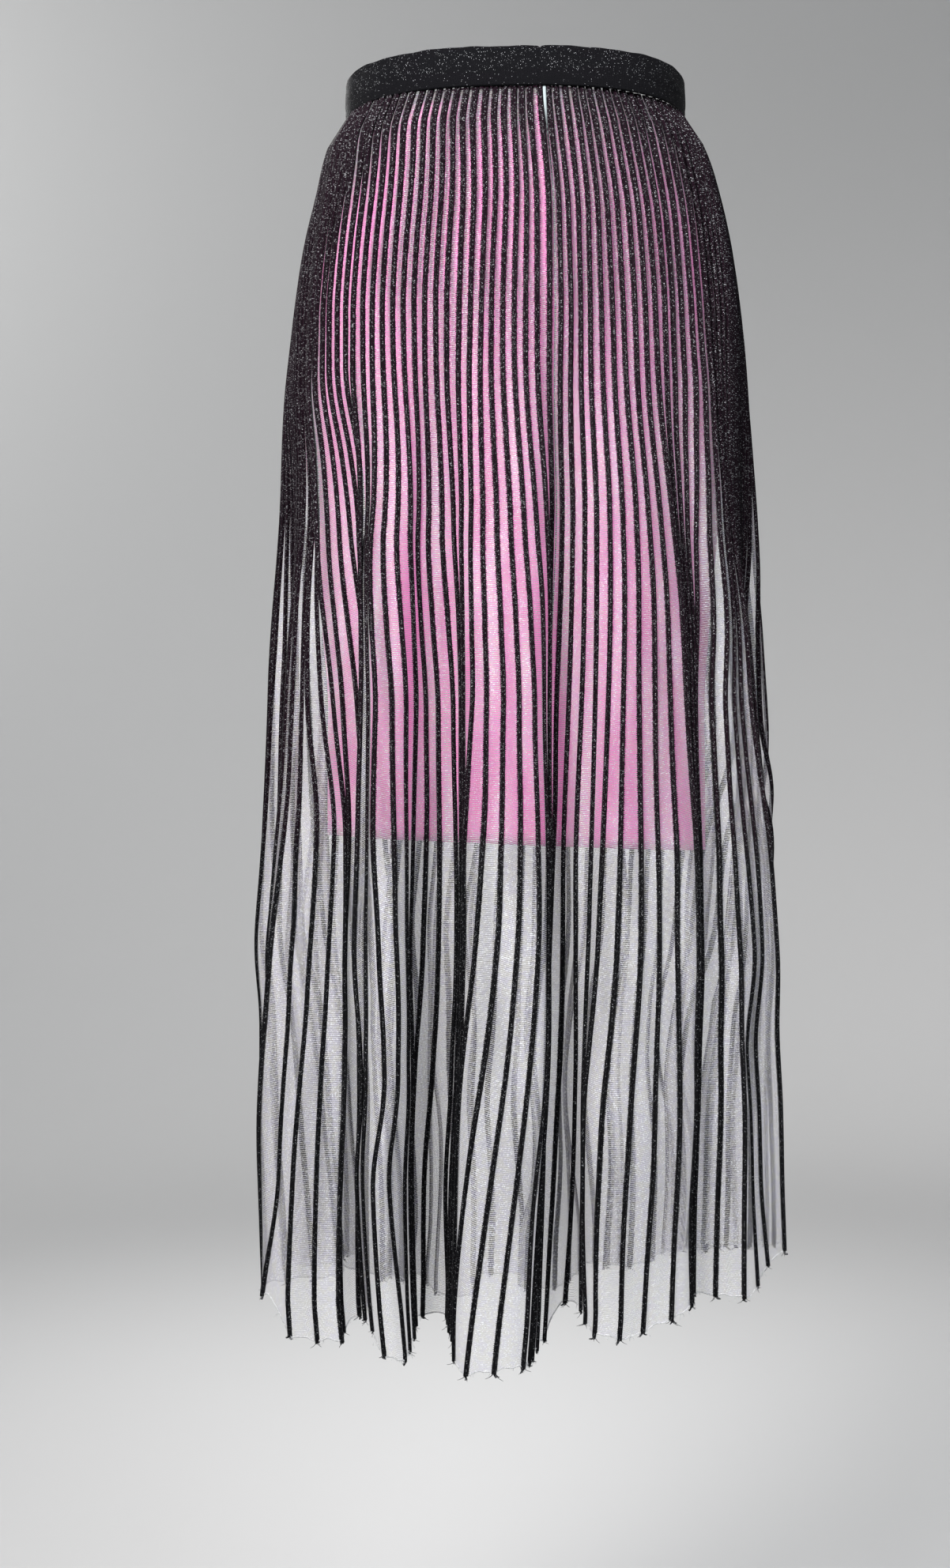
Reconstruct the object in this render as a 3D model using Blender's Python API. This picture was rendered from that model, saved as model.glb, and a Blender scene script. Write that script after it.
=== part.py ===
# Pleated midi skirt with raised ribs, a lurex waistband and a short inner slip.
#
# Frame: metres, +Z up, origin at the centre of the waistband at half its height.
# The seam of the skirt is on the -Y side, and +X is the right-hand side seen from there.
#
# The skirt is one knitted panel closed by one seam. Its ribs are counted from the rib at the
# right of the seam, anticlockwise from above. Between the ribs the cloth widens from waist
# to hem, so the extra length stands in folds. A fold is described by how far its two walls
# lean away from the plain outline of the body, and a level's folds are scaled together
# until the cloth's whole length fits that outline.

import math
from collections import namedtuple

import bmesh
import bpy
import numpy as np

# Driving dimensions
RIB_COUNT = 112
RIB_WIDTH = 0.0035
RIB_HEIGHT = 0.0012
CLOTH_WALL = 0.0015
SEAM_GAP = 0.0003
BAND_HEIGHT = 0.029
BAND_WALL = 0.0032
BAND_HALF_WIDTH = 0.1206
BAND_DEPTH = 0.0916
BAND_FOLD_ROUND = 0.0010
BAND_STEPS = 72
SLIP_STEPS = 84
SLIP_HEM_Z = -0.5305
SLIP_HEM_SLOPE = -0.040

BAND_BOTTOM_Z = -BAND_HEIGHT / 2
CLOTH_TOP_Z = BAND_BOTTOM_Z - SEAM_GAP
HEM_Z = -0.872

# Outline of the skirt with its folds, and the distance between two ribs, at each height
Section = namedtuple("Section", "z half_width front_depth back_depth rib_pitch")
SECTIONS = (
    Section(-0.016, 0.1215, 0.0925, 0.0925, 0.00606),
    Section(-0.033, 0.1376, 0.0960, 0.0980, 0.0066),
    Section(-0.062, 0.1460, 0.0990, 0.1020, 0.0070),
    Section(-0.105, 0.1553, 0.1030, 0.1070, 0.0074),
    Section(-0.160, 0.1632, 0.1070, 0.1110, 0.0077),
    Section(-0.220, 0.1687, 0.1110, 0.1140, 0.0081),
    Section(-0.290, 0.1741, 0.1190, 0.1200, 0.0092),
    Section(-0.370, 0.1784, 0.1270, 0.1300, 0.0111),
    Section(-0.480, 0.1835, 0.1360, 0.1420, 0.0123),
    Section(-0.600, 0.1905, 0.1480, 0.1530, 0.0146),
    Section(-0.720, 0.1912, 0.1600, 0.1640, 0.0180),
    Section(-0.880, 0.1905, 0.1680, 0.1720, 0.0198),
)

# How square the outline's front and back are (2 is an ellipse), and where the seam lies
Form = namedtuple("Form", "z front_squareness back_squareness seam_x")
FORMS = (
    Form(-0.015, 2.0, 2.0, 0.0200),
    Form(-0.200, 2.1, 2.1, 0.0235),
    Form(-0.310, 2.2, 2.1, 0.0285),
    Form(-0.435, 2.5, 2.2, 0.0270),
    Form(-0.600, 3.0, 2.3, 0.0240),
    Form(-0.880, 3.4, 2.3, 0.0070),
)

# The walls of the folds, in the order of the ribs. at: the rib at the wall's middle, wide:
# its width in ribs, lean: its angle from the outline in degrees, outward when positive.
Wall = namedtuple("Wall", "at_hip at_hem wide_hip wide_hem lean_hip lean_knee lean_hem")
WALLS = (
    Wall(-25.5, -25.0, 2.0, 3.0, 15, 50, 88),
    Wall(-19.0, -18.3, 1.0, 1.8, 0, -30, -72),
    Wall(-16.7, -16.1, 2.2, 2.2, 44, 58, 66),
    Wall(-12.6, -12.2, 1.4, 4.2, -66, -82, -104),
    Wall(-7.9, -6.2, 2.2, 6.0, 54, 82, 90),
    Wall(-0.7, 0.6, 2.2, 3.4, -66, -84, -84),
    Wall(2.3, 4.9, 4.0, 3.2, 43, 52, 80),
    Wall(7.0, 7.2, 2.0, 2.0, -5, -12, -22),
    Wall(10.4, 10.5, 2.2, 1.2, -34, -46, -84),
    Wall(12.8, 12.2, 1.6, 2.2, 16, 26, 36),
    Wall(17.0, 18.2, 2.0, 3.6, -20, -48, -84),
    Wall(22.5, 22.9, 2.2, 3.2, 48, 75, 88),
    Wall(27.5, 27.4, 2.4, 3.2, -62, -80, -90),
    Wall(31.5, 31.8, 2.4, 3.2, 62, 80, 90),
    Wall(37.0, 36.8, 2.4, 3.2, -66, -84, -92),
    Wall(41.0, 41.2, 2.4, 3.2, 66, 84, 92),
    Wall(46.5, 46.2, 2.4, 3.2, -66, -84, -92),
    Wall(50.5, 50.6, 2.4, 3.2, 66, 84, 92),
    Wall(56.0, 55.8, 2.4, 3.2, -66, -84, -92),
    Wall(60.0, 60.4, 2.4, 3.2, 66, 84, 92),
    Wall(65.5, 65.2, 2.4, 3.2, -66, -84, -92),
    Wall(69.5, 69.7, 2.4, 3.2, 66, 84, 92),
    Wall(74.5, 74.5, 2.4, 3.2, -62, -80, -90),
    Wall(78.5, 78.9, 2.4, 3.0, 62, 80, 90),
    Wall(83.3, 83.0, 2.0, 2.8, -45, -70, -88),
)
FOLDS_START_Z = -0.12
HIP_Z = -0.32
KNEE_Z = -0.53
BEND_HIP = 1.0
BEND_HEM = 0.75

# How far the uneven hem lies above the level HEM_Z, by rib
Lift = namedtuple("Lift", "rib height")
HEM_LIFTS = (
    Lift(-27, 0.034),
    Lift(-22, 0.030),
    Lift(-21, 0.006),
    Lift(-19, 0.007),
    Lift(-17, 0.029),
    Lift(-15.5, 0.007),
    Lift(-14, -0.003),
    Lift(-9.5, 0.009),
    Lift(-4, 0.004),
    Lift(-3, -0.001),
    Lift(-1.5, 0.002),
    Lift(2, 0.006),
    Lift(3, 0.030),
    Lift(7, 0.019),
    Lift(11, 0.038),
    Lift(13, 0.034),
    Lift(16, 0.058),
    Lift(24, 0.044),
    Lift(36, 0.020),
    Lift(48, -0.008),
    Lift(58, -0.014),
    Lift(70, 0.012),
    Lift(78, 0.034),
)

# How far the slip lies inside the skirt's outline
Inset = namedtuple("Inset", "z side front back")
SLIP_INSETS = (
    Inset(-0.015, 0.0018, 0.0018, 0.0018),
    Inset(-0.170, 0.0030, 0.0040, 0.0040),
    Inset(-0.240, 0.0125, 0.0165, 0.0165),
    Inset(-0.320, 0.0245, 0.0320, 0.0340),
    Inset(-0.378, 0.0300, 0.0360, 0.0400),
    Inset(-0.436, 0.0380, 0.0430, 0.0480),
    Inset(-0.540, 0.0480, 0.0560, 0.0600),
)

# Heights of the rings of points, the lowest one at the hem
SKIRT_RING_Z = (CLOTH_TOP_Z, -0.040, -0.090, -0.165, -0.250, -0.345, -0.460, -0.590, -0.730, HEM_Z)
SLIP_RING_Z = (CLOTH_TOP_Z, -0.040, -0.090, -0.165, -0.250, -0.345, -0.440, SLIP_HEM_Z)

# Fineness of the sums that lay the cloth along the outline
SAMPLES_PER_RIB = 8
OUTLINE_SAMPLES = 1440
NORMAL_REACH = 1 / 400
CURVATURE_REACH = 1 / 120
FIT_ROUNDS = 4
BEND_ROUNDS = 3
LEAST_STRETCH = 0.3
LEAN_HALVINGS = 40
MOST_LEAN_SCALE = 4.0
HEM_LEVELS = 5
SHARP_DEGREES = 50.0
ELLIPSE = 2.0


def smooth_step(x):
    x = np.clip(x, 0.0, 1.0)
    return x * x * (3.0 - 2.0 * x)


def read_curve(xs, ys, x):
    """Read a monotone cubic through the points of a table, held level past its ends."""
    xs = np.asarray(xs, float)
    ys = np.asarray(ys, float)
    run = np.diff(xs)
    rise = np.diff(ys) / run
    slope = np.zeros(len(xs))
    slope[0] = rise[0]
    slope[-1] = rise[-1]
    for i in range(1, len(xs) - 1):
        if rise[i - 1] * rise[i] > 0:
            before = 2.0 * run[i] + run[i - 1]
            after = run[i] + 2.0 * run[i - 1]
            slope[i] = (before + after) / (before / rise[i - 1] + after / rise[i])
    x = np.clip(x, xs[0], xs[-1])
    i = np.clip(np.searchsorted(xs, x, side="right") - 1, 0, len(run) - 1)
    t = (x - xs[i]) / run[i]
    start = (1.0 + 2.0 * t) * (1.0 - t) ** 2 * ys[i] + t * (1.0 - t) ** 2 * run[i] * slope[i]
    end = t * t * (3.0 - 2.0 * t) * ys[i + 1] + t * t * (t - 1.0) * run[i] * slope[i + 1]
    return start + end


def read_table(rows, column, z):
    """Read one column of a table whose rows go downwards in z."""
    return read_curve([-row.z for row in rows], [getattr(row, column) for row in rows], -z)


class Outline:
    """A closed outline in plan, known by its arc length, anticlockwise from above."""

    def __init__(self, half_width, front_depth, back_depth, front_squareness, back_squareness):
        turn = np.linspace(0.0, 2.0 * math.pi, OUTLINE_SAMPLES + 1)
        cosine = np.cos(turn)
        sine = np.sin(turn)
        in_front = sine < 0
        power = ELLIPSE / np.where(in_front, front_squareness, back_squareness)
        depth = np.where(in_front, front_depth, back_depth)
        self.x = half_width * np.sign(cosine) * np.abs(cosine) ** power
        self.y = depth * np.sign(sine) * np.abs(sine) ** power
        steps = np.hypot(np.diff(self.x), np.diff(self.y))
        self.arc = np.concatenate([[0.0], np.cumsum(steps)])
        self.length = self.arc[-1]

    def point(self, arc):
        arc = np.mod(arc, self.length)
        return np.interp(arc, self.arc, self.x), np.interp(arc, self.arc, self.y)

    def normal(self, arc):
        """Outward normal, from a short chord round the place."""
        reach = self.length * NORMAL_REACH
        x0, y0 = self.point(arc - reach)
        x1, y1 = self.point(arc + reach)
        chord = np.hypot(x1 - x0, y1 - y0)
        return (y1 - y0) / chord, (x0 - x1) / chord

    def curvature(self, arc):
        reach = self.length * CURVATURE_REACH
        x0, y0 = self.normal(arc - reach)
        x1, y1 = self.normal(arc + reach)
        return (x0 * y1 - y0 * x1) / (2.0 * reach)

    def front_arc(self, x):
        """Arc length of the front point that has this x."""
        front = self.y <= 0
        order = np.argsort(self.x[front])
        return float(np.interp(x, self.x[front][order], self.arc[front][order]))


def fold_lean(rib, z):
    """How far the cloth leans off the outline at each rib position, in radians, unscaled."""
    grown = smooth_step((FOLDS_START_Z - z) / (FOLDS_START_Z - HIP_Z))
    down = np.clip((HIP_Z - z) / (HIP_Z - HEM_Z), 0.0, 1.0)
    bend = BEND_HIP + (BEND_HEM - BEND_HIP) * down
    levels = (-HIP_Z, -KNEE_Z, -HEM_Z)
    lean = np.zeros_like(rib)
    for wall in WALLS:
        middle = wall.at_hip + (wall.at_hem - wall.at_hip) * down
        reach = (wall.wide_hip + (wall.wide_hem - wall.wide_hip) * down) / 2.0 + bend
        away = np.abs(np.mod(rib - middle + RIB_COUNT / 2, RIB_COUNT) - RIB_COUNT / 2)
        degrees = read_curve(levels, (wall.lean_hip, wall.lean_knee, wall.lean_hem), -z)
        lean += math.radians(grown * degrees) * smooth_step((reach - away) / (2.0 * bend))
    return lean


def fit_lean(lean, share):
    """Scale the leans until the cloth covers this share of its own length."""
    if not lean.any() or share >= 1.0:
        return np.zeros_like(lean)
    low, high = 0.0, MOST_LEAN_SCALE
    for _ in range(LEAN_HALVINGS):
        scale = (low + high) / 2.0
        if np.cos(scale * lean)[:-1].mean() > share:
            low = scale
        else:
            high = scale
    return scale * lean


def running_sum(steps):
    return np.concatenate([[0.0], np.cumsum((steps[1:] + steps[:-1]) / 2.0)])


def cloth_section(z):
    """The cloth's middle line in plan at one height: rows of x, y and its outward normal."""
    outline_now = [read_table(SECTIONS, name, z) for name in ("half_width", "front_depth", "back_depth")]
    pitch = read_table(SECTIONS, "rib_pitch", z)
    squareness = [read_table(FORMS, name, z) for name in ("front_squareness", "back_squareness")]
    seam_x = read_table(FORMS, "seam_x", z)
    rib = np.arange(RIB_COUNT * SAMPLES_PER_RIB + 1) / SAMPLES_PER_RIB
    lean = fold_lean(rib, z)
    step = pitch / SAMPLES_PER_RIB
    left = right = front = back = 0.0
    for _ in range(FIT_ROUNDS):
        outline = Outline(outline_now[0] - (left + right) / 2.0, outline_now[1] - front,
                          outline_now[2] - back, *squareness)
        angle = fit_lean(lean, outline.length / (RIB_COUNT * pitch))
        height = running_sum(np.sin(angle) * step)
        height -= height[-1] * rib / RIB_COUNT
        height -= height[:-1].mean()
        along = running_sum(np.cos(angle) * step)
        start = outline.front_arc(seam_x)
        for _ in range(BEND_ROUNDS):
            bent = 1.0 + outline.curvature(start + along * outline.length / along[-1]) * height
            along = running_sum(np.cos(angle) * step / np.clip(bent, LEAST_STRETCH, None))
        arc = start + along * outline.length / along[-1]
        x, y = outline.point(arc)
        normal_x, normal_y = outline.normal(arc)
        x = x + height * normal_x + (left - right) / 2.0
        y = y + height * normal_y
        left += -x.min() - outline_now[0]
        right += x.max() - outline_now[0]
        front += -y.min() - outline_now[1]
        back += y.max() - outline_now[2]
    run_x = np.gradient(x)
    run_y = np.gradient(y)
    run_x[[0, -1]] = (x[1] - x[-2]) / 2.0
    run_y[[0, -1]] = (y[1] - y[-2]) / 2.0
    size = np.hypot(run_x, run_y)
    return np.stack([x, y, run_y / size, -run_x / size])


def hem_height(rib):
    """Height of the hem at a rib position."""
    first = HEM_LIFTS[0].rib
    rib = np.mod(rib - first, RIB_COUNT) + first
    ribs = [lift.rib for lift in HEM_LIFTS] + [first + RIB_COUNT]
    lifts = [lift.height for lift in HEM_LIFTS] + [HEM_LIFTS[0].height]
    return HEM_Z + read_curve(ribs, lifts, rib)


class Cloth:
    """The skirt's middle surface, read at any rib position and height."""

    def __init__(self, levels):
        self.levels = np.asarray(levels)
        self.sections = np.stack([cloth_section(z) for z in self.levels])
        self.rib = np.arange(RIB_COUNT * SAMPLES_PER_RIB + 1) / SAMPLES_PER_RIB

    def point(self, rib, z, out):
        """A point this far outside the middle surface."""
        rib = np.mod(rib, RIB_COUNT)
        place = np.interp(-z, -self.levels, np.arange(len(self.levels)))
        low = int(min(place, len(self.levels) - 2))
        part = place - low
        above, below = (
            np.array([np.interp(rib, self.rib, row) for row in self.sections[k]]) for k in (low, low + 1)
        )
        x, y, normal_x, normal_y = above + (below - above) * part
        size = math.hypot(normal_x, normal_y)
        return (x + out * normal_x / size, y + out * normal_y / size, z)


def tube_levels():
    """Heights at which the cloth is worked out: each ring, and a few across the uneven hem."""
    lowest = HEM_Z + min(lift.height for lift in HEM_LIFTS)
    highest = HEM_Z + max(lift.height for lift in HEM_LIFTS)
    return list(SKIRT_RING_Z[:-1]) + list(np.linspace(highest, lowest, HEM_LEVELS))


def make_material(name, color, roughness, metallic):
    material = bpy.data.materials.new(name)
    material.use_nodes = True
    shader = material.node_tree.nodes["Principled BSDF"]
    shader.inputs["Base Color"].default_value = (*color, 1.0)
    shader.inputs["Roughness"].default_value = roughness
    shader.inputs["Metallic"].default_value = metallic
    return material


def add_object(name, points, faces, material):
    mesh = bpy.data.meshes.new(name)
    mesh.from_pydata(points, [], faces)
    shape = bmesh.new()
    shape.from_mesh(mesh)
    bmesh.ops.recalc_face_normals(shape, faces=shape.faces)
    shape.to_mesh(mesh)
    shape.free()
    mesh.shade_smooth()
    mesh.set_sharp_from_angle(angle=math.radians(SHARP_DEGREES))
    mesh.materials.append(material)
    item = bpy.data.objects.new(name, mesh)
    bpy.context.scene.collection.objects.link(item)
    return item


def strip(upper, lower):
    """Two triangles for each step between two closed rows of points of the same count."""
    faces = []
    for i in range(len(upper)):
        j = (i + 1) % len(upper)
        faces += [(upper[i], lower[i], lower[j]), (upper[i], lower[j], upper[j])]
    return faces


def make_skirt(material):
    """The ribbed panel: three outer points on each rib, two inner points behind it."""
    cloth = Cloth(tube_levels())
    points, outer_rows, inner_rows = [], [], []
    for level in SKIRT_RING_Z:
        outer, inner = [], []
        for rib in range(RIB_COUNT):
            z = level if level > HEM_Z else float(hem_height(rib))
            half = RIB_WIDTH / 2.0 / read_table(SECTIONS, "rib_pitch", z)
            skin = CLOTH_WALL / 2.0
            for place, out in ((rib - half, skin), (rib, skin + RIB_HEIGHT), (rib + half, skin)):
                outer.append(len(points))
                points.append(cloth.point(place, z, out))
            for place in (rib - half, rib + half):
                inner.append(len(points))
                points.append(cloth.point(place, z, -skin))
        outer_rows.append(outer)
        inner_rows.append(inner)
    faces = []
    for row in range(len(SKIRT_RING_Z) - 1):
        faces += strip(outer_rows[row], outer_rows[row + 1])
        faces += strip(inner_rows[row], inner_rows[row + 1])
    for outer, inner in ((outer_rows[0], inner_rows[0]), (outer_rows[-1], inner_rows[-1])):
        for rib in range(RIB_COUNT):
            foot, crest, end, far = (outer[(3 * rib + k) % len(outer)] for k in range(4))
            back_foot, back_end, back_far = (inner[(2 * rib + k) % len(inner)] for k in range(3))
            faces += [(foot, crest, back_foot), (crest, back_end, back_foot), (crest, end, back_end)]
            faces += [(end, far, back_end), (far, back_far, back_end)]
    return add_object("skirt", points, faces, material)


def slip_outline(z, out):
    inset = [read_table(SLIP_INSETS, name, z) for name in ("side", "front", "back")]
    size = [read_table(SECTIONS, name, z) for name in ("half_width", "front_depth", "back_depth")]
    return Outline(*(whole - part + out for whole, part in zip(size, inset)), ELLIPSE, ELLIPSE)


def make_slip(material):
    """A plain tube that hangs from the band inside the skirt, with a slanting hem."""
    points, rows = [], []
    for out in (CLOTH_WALL / 2.0, -CLOTH_WALL / 2.0):
        for level in SLIP_RING_Z:
            outline = slip_outline(level, out)
            arcs = np.arange(SLIP_STEPS) * outline.length / SLIP_STEPS
            xs, ys = outline.point(arcs)
            slope = SLIP_HEM_SLOPE if level == SLIP_HEM_Z else 0.0
            rows.append(range(len(points), len(points) + SLIP_STEPS))
            points += [(x, y, level + slope * x) for x, y in zip(xs, ys)]
    half = len(rows) // 2
    order = rows[:half] + rows[:half - 1:-1]
    faces = []
    for k in range(len(order)):
        faces += strip(order[k], order[(k + 1) % len(order)])
    return add_object("slip", points, faces, material)


def make_waistband(material):
    """A band folded double: a flat closed loop with a rounded upper fold."""
    half = BAND_WALL / 2.0
    turn = half - BAND_FOLD_ROUND
    top = BAND_HEIGHT / 2.0
    profile = (
        (half, BAND_BOTTOM_Z),
        (half, 0.0),
        (half, top - BAND_FOLD_ROUND),
        (turn, top),
        (-turn, top),
        (-half, top - BAND_FOLD_ROUND),
        (-half, 0.0),
        (-half, BAND_BOTTOM_Z),
    )
    points, rows = [], []
    for out, z in profile:
        outline = Outline(BAND_HALF_WIDTH + out, BAND_DEPTH + out, BAND_DEPTH + out, ELLIPSE, ELLIPSE)
        xs, ys = outline.point(np.arange(BAND_STEPS) * outline.length / BAND_STEPS)
        rows.append(range(len(points), len(points) + BAND_STEPS))
        points += [(x, y, z) for x, y in zip(xs, ys)]
    faces = []
    for k in range(len(rows)):
        faces += strip(rows[k], rows[(k + 1) % len(rows)])
    return add_object("waistband", points, faces, material)


def main():
    for item in list(bpy.data.objects):
        bpy.data.objects.remove(item, do_unlink=True)
    make_waistband(make_material("black_lurex_knit", (0.025, 0.026, 0.029), 0.55, 0.25))
    make_skirt(make_material("white_ribbed_knit", (0.62, 0.62, 0.63), 0.7, 0.0))
    make_slip(make_material("pink_knit", (0.83, 0.30, 0.52), 0.7, 0.0))


main()
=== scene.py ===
# Looks of the pleated midi skirt: sheer white knit with raised black metallic ribs, which
# stands in soft folds, over a short pink slip, under a black waistband.
#
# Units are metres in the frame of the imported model: +Z up, origin at the waistband's centre,
# the side with the seam towards -Y. The folds follow much the same tables as the solids, read
# at many more heights. The ribs also slide into the folds and sway sideways over them.

import math
from collections import namedtuple

import bpy
import numpy as np
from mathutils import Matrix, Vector


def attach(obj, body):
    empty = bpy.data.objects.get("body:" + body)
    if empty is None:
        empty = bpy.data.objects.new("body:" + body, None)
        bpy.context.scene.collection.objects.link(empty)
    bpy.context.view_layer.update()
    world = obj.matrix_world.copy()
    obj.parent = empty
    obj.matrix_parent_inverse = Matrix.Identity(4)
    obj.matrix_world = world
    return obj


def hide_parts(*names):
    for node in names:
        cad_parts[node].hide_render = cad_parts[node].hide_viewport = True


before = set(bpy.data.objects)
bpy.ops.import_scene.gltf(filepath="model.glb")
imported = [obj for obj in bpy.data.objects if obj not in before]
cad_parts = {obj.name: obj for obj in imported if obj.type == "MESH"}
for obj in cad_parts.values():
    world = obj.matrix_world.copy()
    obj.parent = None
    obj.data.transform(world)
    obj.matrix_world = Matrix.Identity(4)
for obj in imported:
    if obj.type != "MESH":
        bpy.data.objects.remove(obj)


def table(fields, *rows):
    """A table whose rows have named fields."""
    row = namedtuple("Row", fields)
    return tuple(row(*values) for values in rows)


# Driving dimensions of the cloth; COURSE and WALE are the height and width of its stitches
RIB_COUNT = 112
BAND_HEIGHT = 0.029
CLOTH_TOP_Z = -0.0136
HEM_Z = -0.872
CLOTH_LENGTH = 0.860
COURSE = 0.0013
WALE = 0.0011

# Ribs. Just under the band they crowd together at both sides. CROWD_RIBS: fully to the left of
# the first rib and to the right of the last, not at all between the middle two. CROWD_BACK:
# over how many ribs this ends at the back. CROWD_ENDS: the heights of none and all of it.
RIB_SIZES = table("z width height",
    (-0.015, 0.0048, 0.0022),
    (-0.036, 0.0047, 0.0027),
    (-0.048, 0.0040, 0.0031),
    (-0.100, 0.0037, 0.0033),
    (-0.200, 0.0036, 0.0032),
    (-0.320, 0.0035, 0.0026),
    (-0.880, 0.0035, 0.0022))
RIB_BACK = 0.0005
CROWD_RIBS = (-18.0, -13.0, 3.0, 12.0)
CROWD_BACK = 14.0
CROWD_ENDS = (-0.120, -0.045)
CROWD_WIDER = 0.36
RIB_GIRTH = 0.0087
RIB_PATTERN_STEP = 0.1
STITCHES_ROUND_RIB = 6

# Lower edge: the scallops and fine jags of the knit, its rolled edge, and the loose threads
SCALLOP = 0.0022
SCALLOP_LEAST = 0.35
SCALLOP_SPREAD = 1.3
SCALLOP_TILT = 0.5
SCALLOP_FULLNESS = 0.7
HEM_JAG = 0.0009
HEM_SHARE = 0.07
EDGE_POINTS_PER_BAY = 12
EDGE_RADIUS = 0.00035
EDGE_ROUGHNESS = 0.0003
EDGE_WANDER_OUT = 0.0004
EDGE_WANDER_UP = 0.0006
EDGE_THREADS = 400
EDGE_THREAD_POINTS = 6
EDGE_THREAD_RADIUS = 0.00016
EDGE_THREAD_REACH = (0.0012, 0.0035)

# Cut end of a rib: two hooks of yarn, then loose threads
TUFT_THREADS = 5
TUFT_HOOKS = 2
TUFT_POINTS = 8
TUFT_HOOK, TUFT_LOOSE = table("reach turn radius",
    (0.0038, 2.6, 0.00085),
    (0.0055, 1.3, 0.00028))
TUFT_TOP = 0.0012
TUFT_OUT = 0.0004
TUFT_DROP = 0.75
TUFT_DROP_TURN = 1.9
TUFT_TAPER = 0.6

# The groove that a stitched line makes in the band and in the slip
GROOVE_DEPTH = 0.0004
GROOVE_WIDTH = 0.0012

# Waistband
BAND_WALL = 0.0032
BAND_HALF_WIDTH = 0.1206
BAND_FRONT_TOP = 0.0965
BAND_FRONT_FOOT = 0.1000
BAND_BACK = 0.0916
BAND_SQUARENESS = 2.5
BAND_BULGE = 0.0006
BAND_STITCH_Z = -0.0045
BAND_SEAM_X = 0.0150
BAND_SEAM_WIDTH = 0.0011
BAND_SEAM_DIP = 0.0010
BAND_SEAM_GROOVE = 0.0005
BAND_STITCH = 0.0010
BAND_STEPS = 480
BAND_OUTER_ROWS = 16
BAND_ARCH_ROWS = 9
BAND_WANDER = table("size waves start",
    (0.00022, 9, 1.0), (0.00018, 23, 0.0), (0.00012, 41, 2.0))

# Slip, with its slanting hem and the soft waves of its lower part
SLIP_WALL = 0.0012
SLIP_TOP_Z = -0.0120
SLIP_HEM_Z = -0.5305
SLIP_HEM_SLOPE = -0.040
SLIP_SLOPE_START_Z = -0.40
SLIP_TURN_UP = 0.010
SLIP_COURSE = 0.0012
SLIP_STEPS = 240
SLIP_ROWS = 60
SLIP_WAVE = 0.0016
SLIP_WAVE_START_Z = -0.30
SLIP_WAVE_RUN = 0.20
SLIP_WAVES = table("size waves start",
    (1.0, 5, 0.6), (0.6, 8, 2.0), (0.4, 13, 0.0))

# Outline of the skirt with its folds, and the distance between two ribs, at each height
SECTIONS = table("z left right front_depth back_depth rib_pitch",
    (-0.016, 0.1208, 0.1208, 0.0990, 0.0925, 0.00606),
    (-0.033, 0.1336, 0.1336, 0.1010, 0.0980, 0.0066),
    (-0.062, 0.1406, 0.1436, 0.1020, 0.1020, 0.0070),
    (-0.105, 0.1509, 0.1537, 0.1040, 0.1070, 0.0074),
    (-0.160, 0.1590, 0.1615, 0.1070, 0.1110, 0.0077),
    (-0.220, 0.1658, 0.1668, 0.1110, 0.1140, 0.0081),
    (-0.290, 0.1697, 0.1736, 0.1190, 0.1200, 0.0092),
    (-0.370, 0.1762, 0.1818, 0.1270, 0.1300, 0.0111),
    (-0.480, 0.1815, 0.1881, 0.1360, 0.1420, 0.0123),
    (-0.550, 0.1860, 0.1902, 0.1430, 0.1490, 0.0137),
    (-0.608, 0.1900, 0.1922, 0.1490, 0.1535, 0.0148),
    (-0.665, 0.1870, 0.1880, 0.1545, 0.1585, 0.0163),
    (-0.720, 0.1868, 0.1868, 0.1600, 0.1640, 0.0180),
    (-0.790, 0.1835, 0.1864, 0.1630, 0.1670, 0.0188),
    (-0.880, 0.1800, 0.1840, 0.1680, 0.1720, 0.0198))

# How square the outline's front and back are (2 is an ellipse), and where rib 0 lies
FORMS = table("z front_squareness back_squareness start_x",
    (-0.015, 2.5, 2.0, 0.0200),
    (-0.200, 2.1, 2.1, 0.0235),
    (-0.310, 2.2, 2.1, 0.0285),
    (-0.435, 2.5, 2.2, 0.0270),
    (-0.600, 3.0, 2.3, 0.0240),
    (-0.880, 3.4, 2.3, 0.0070))

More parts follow.
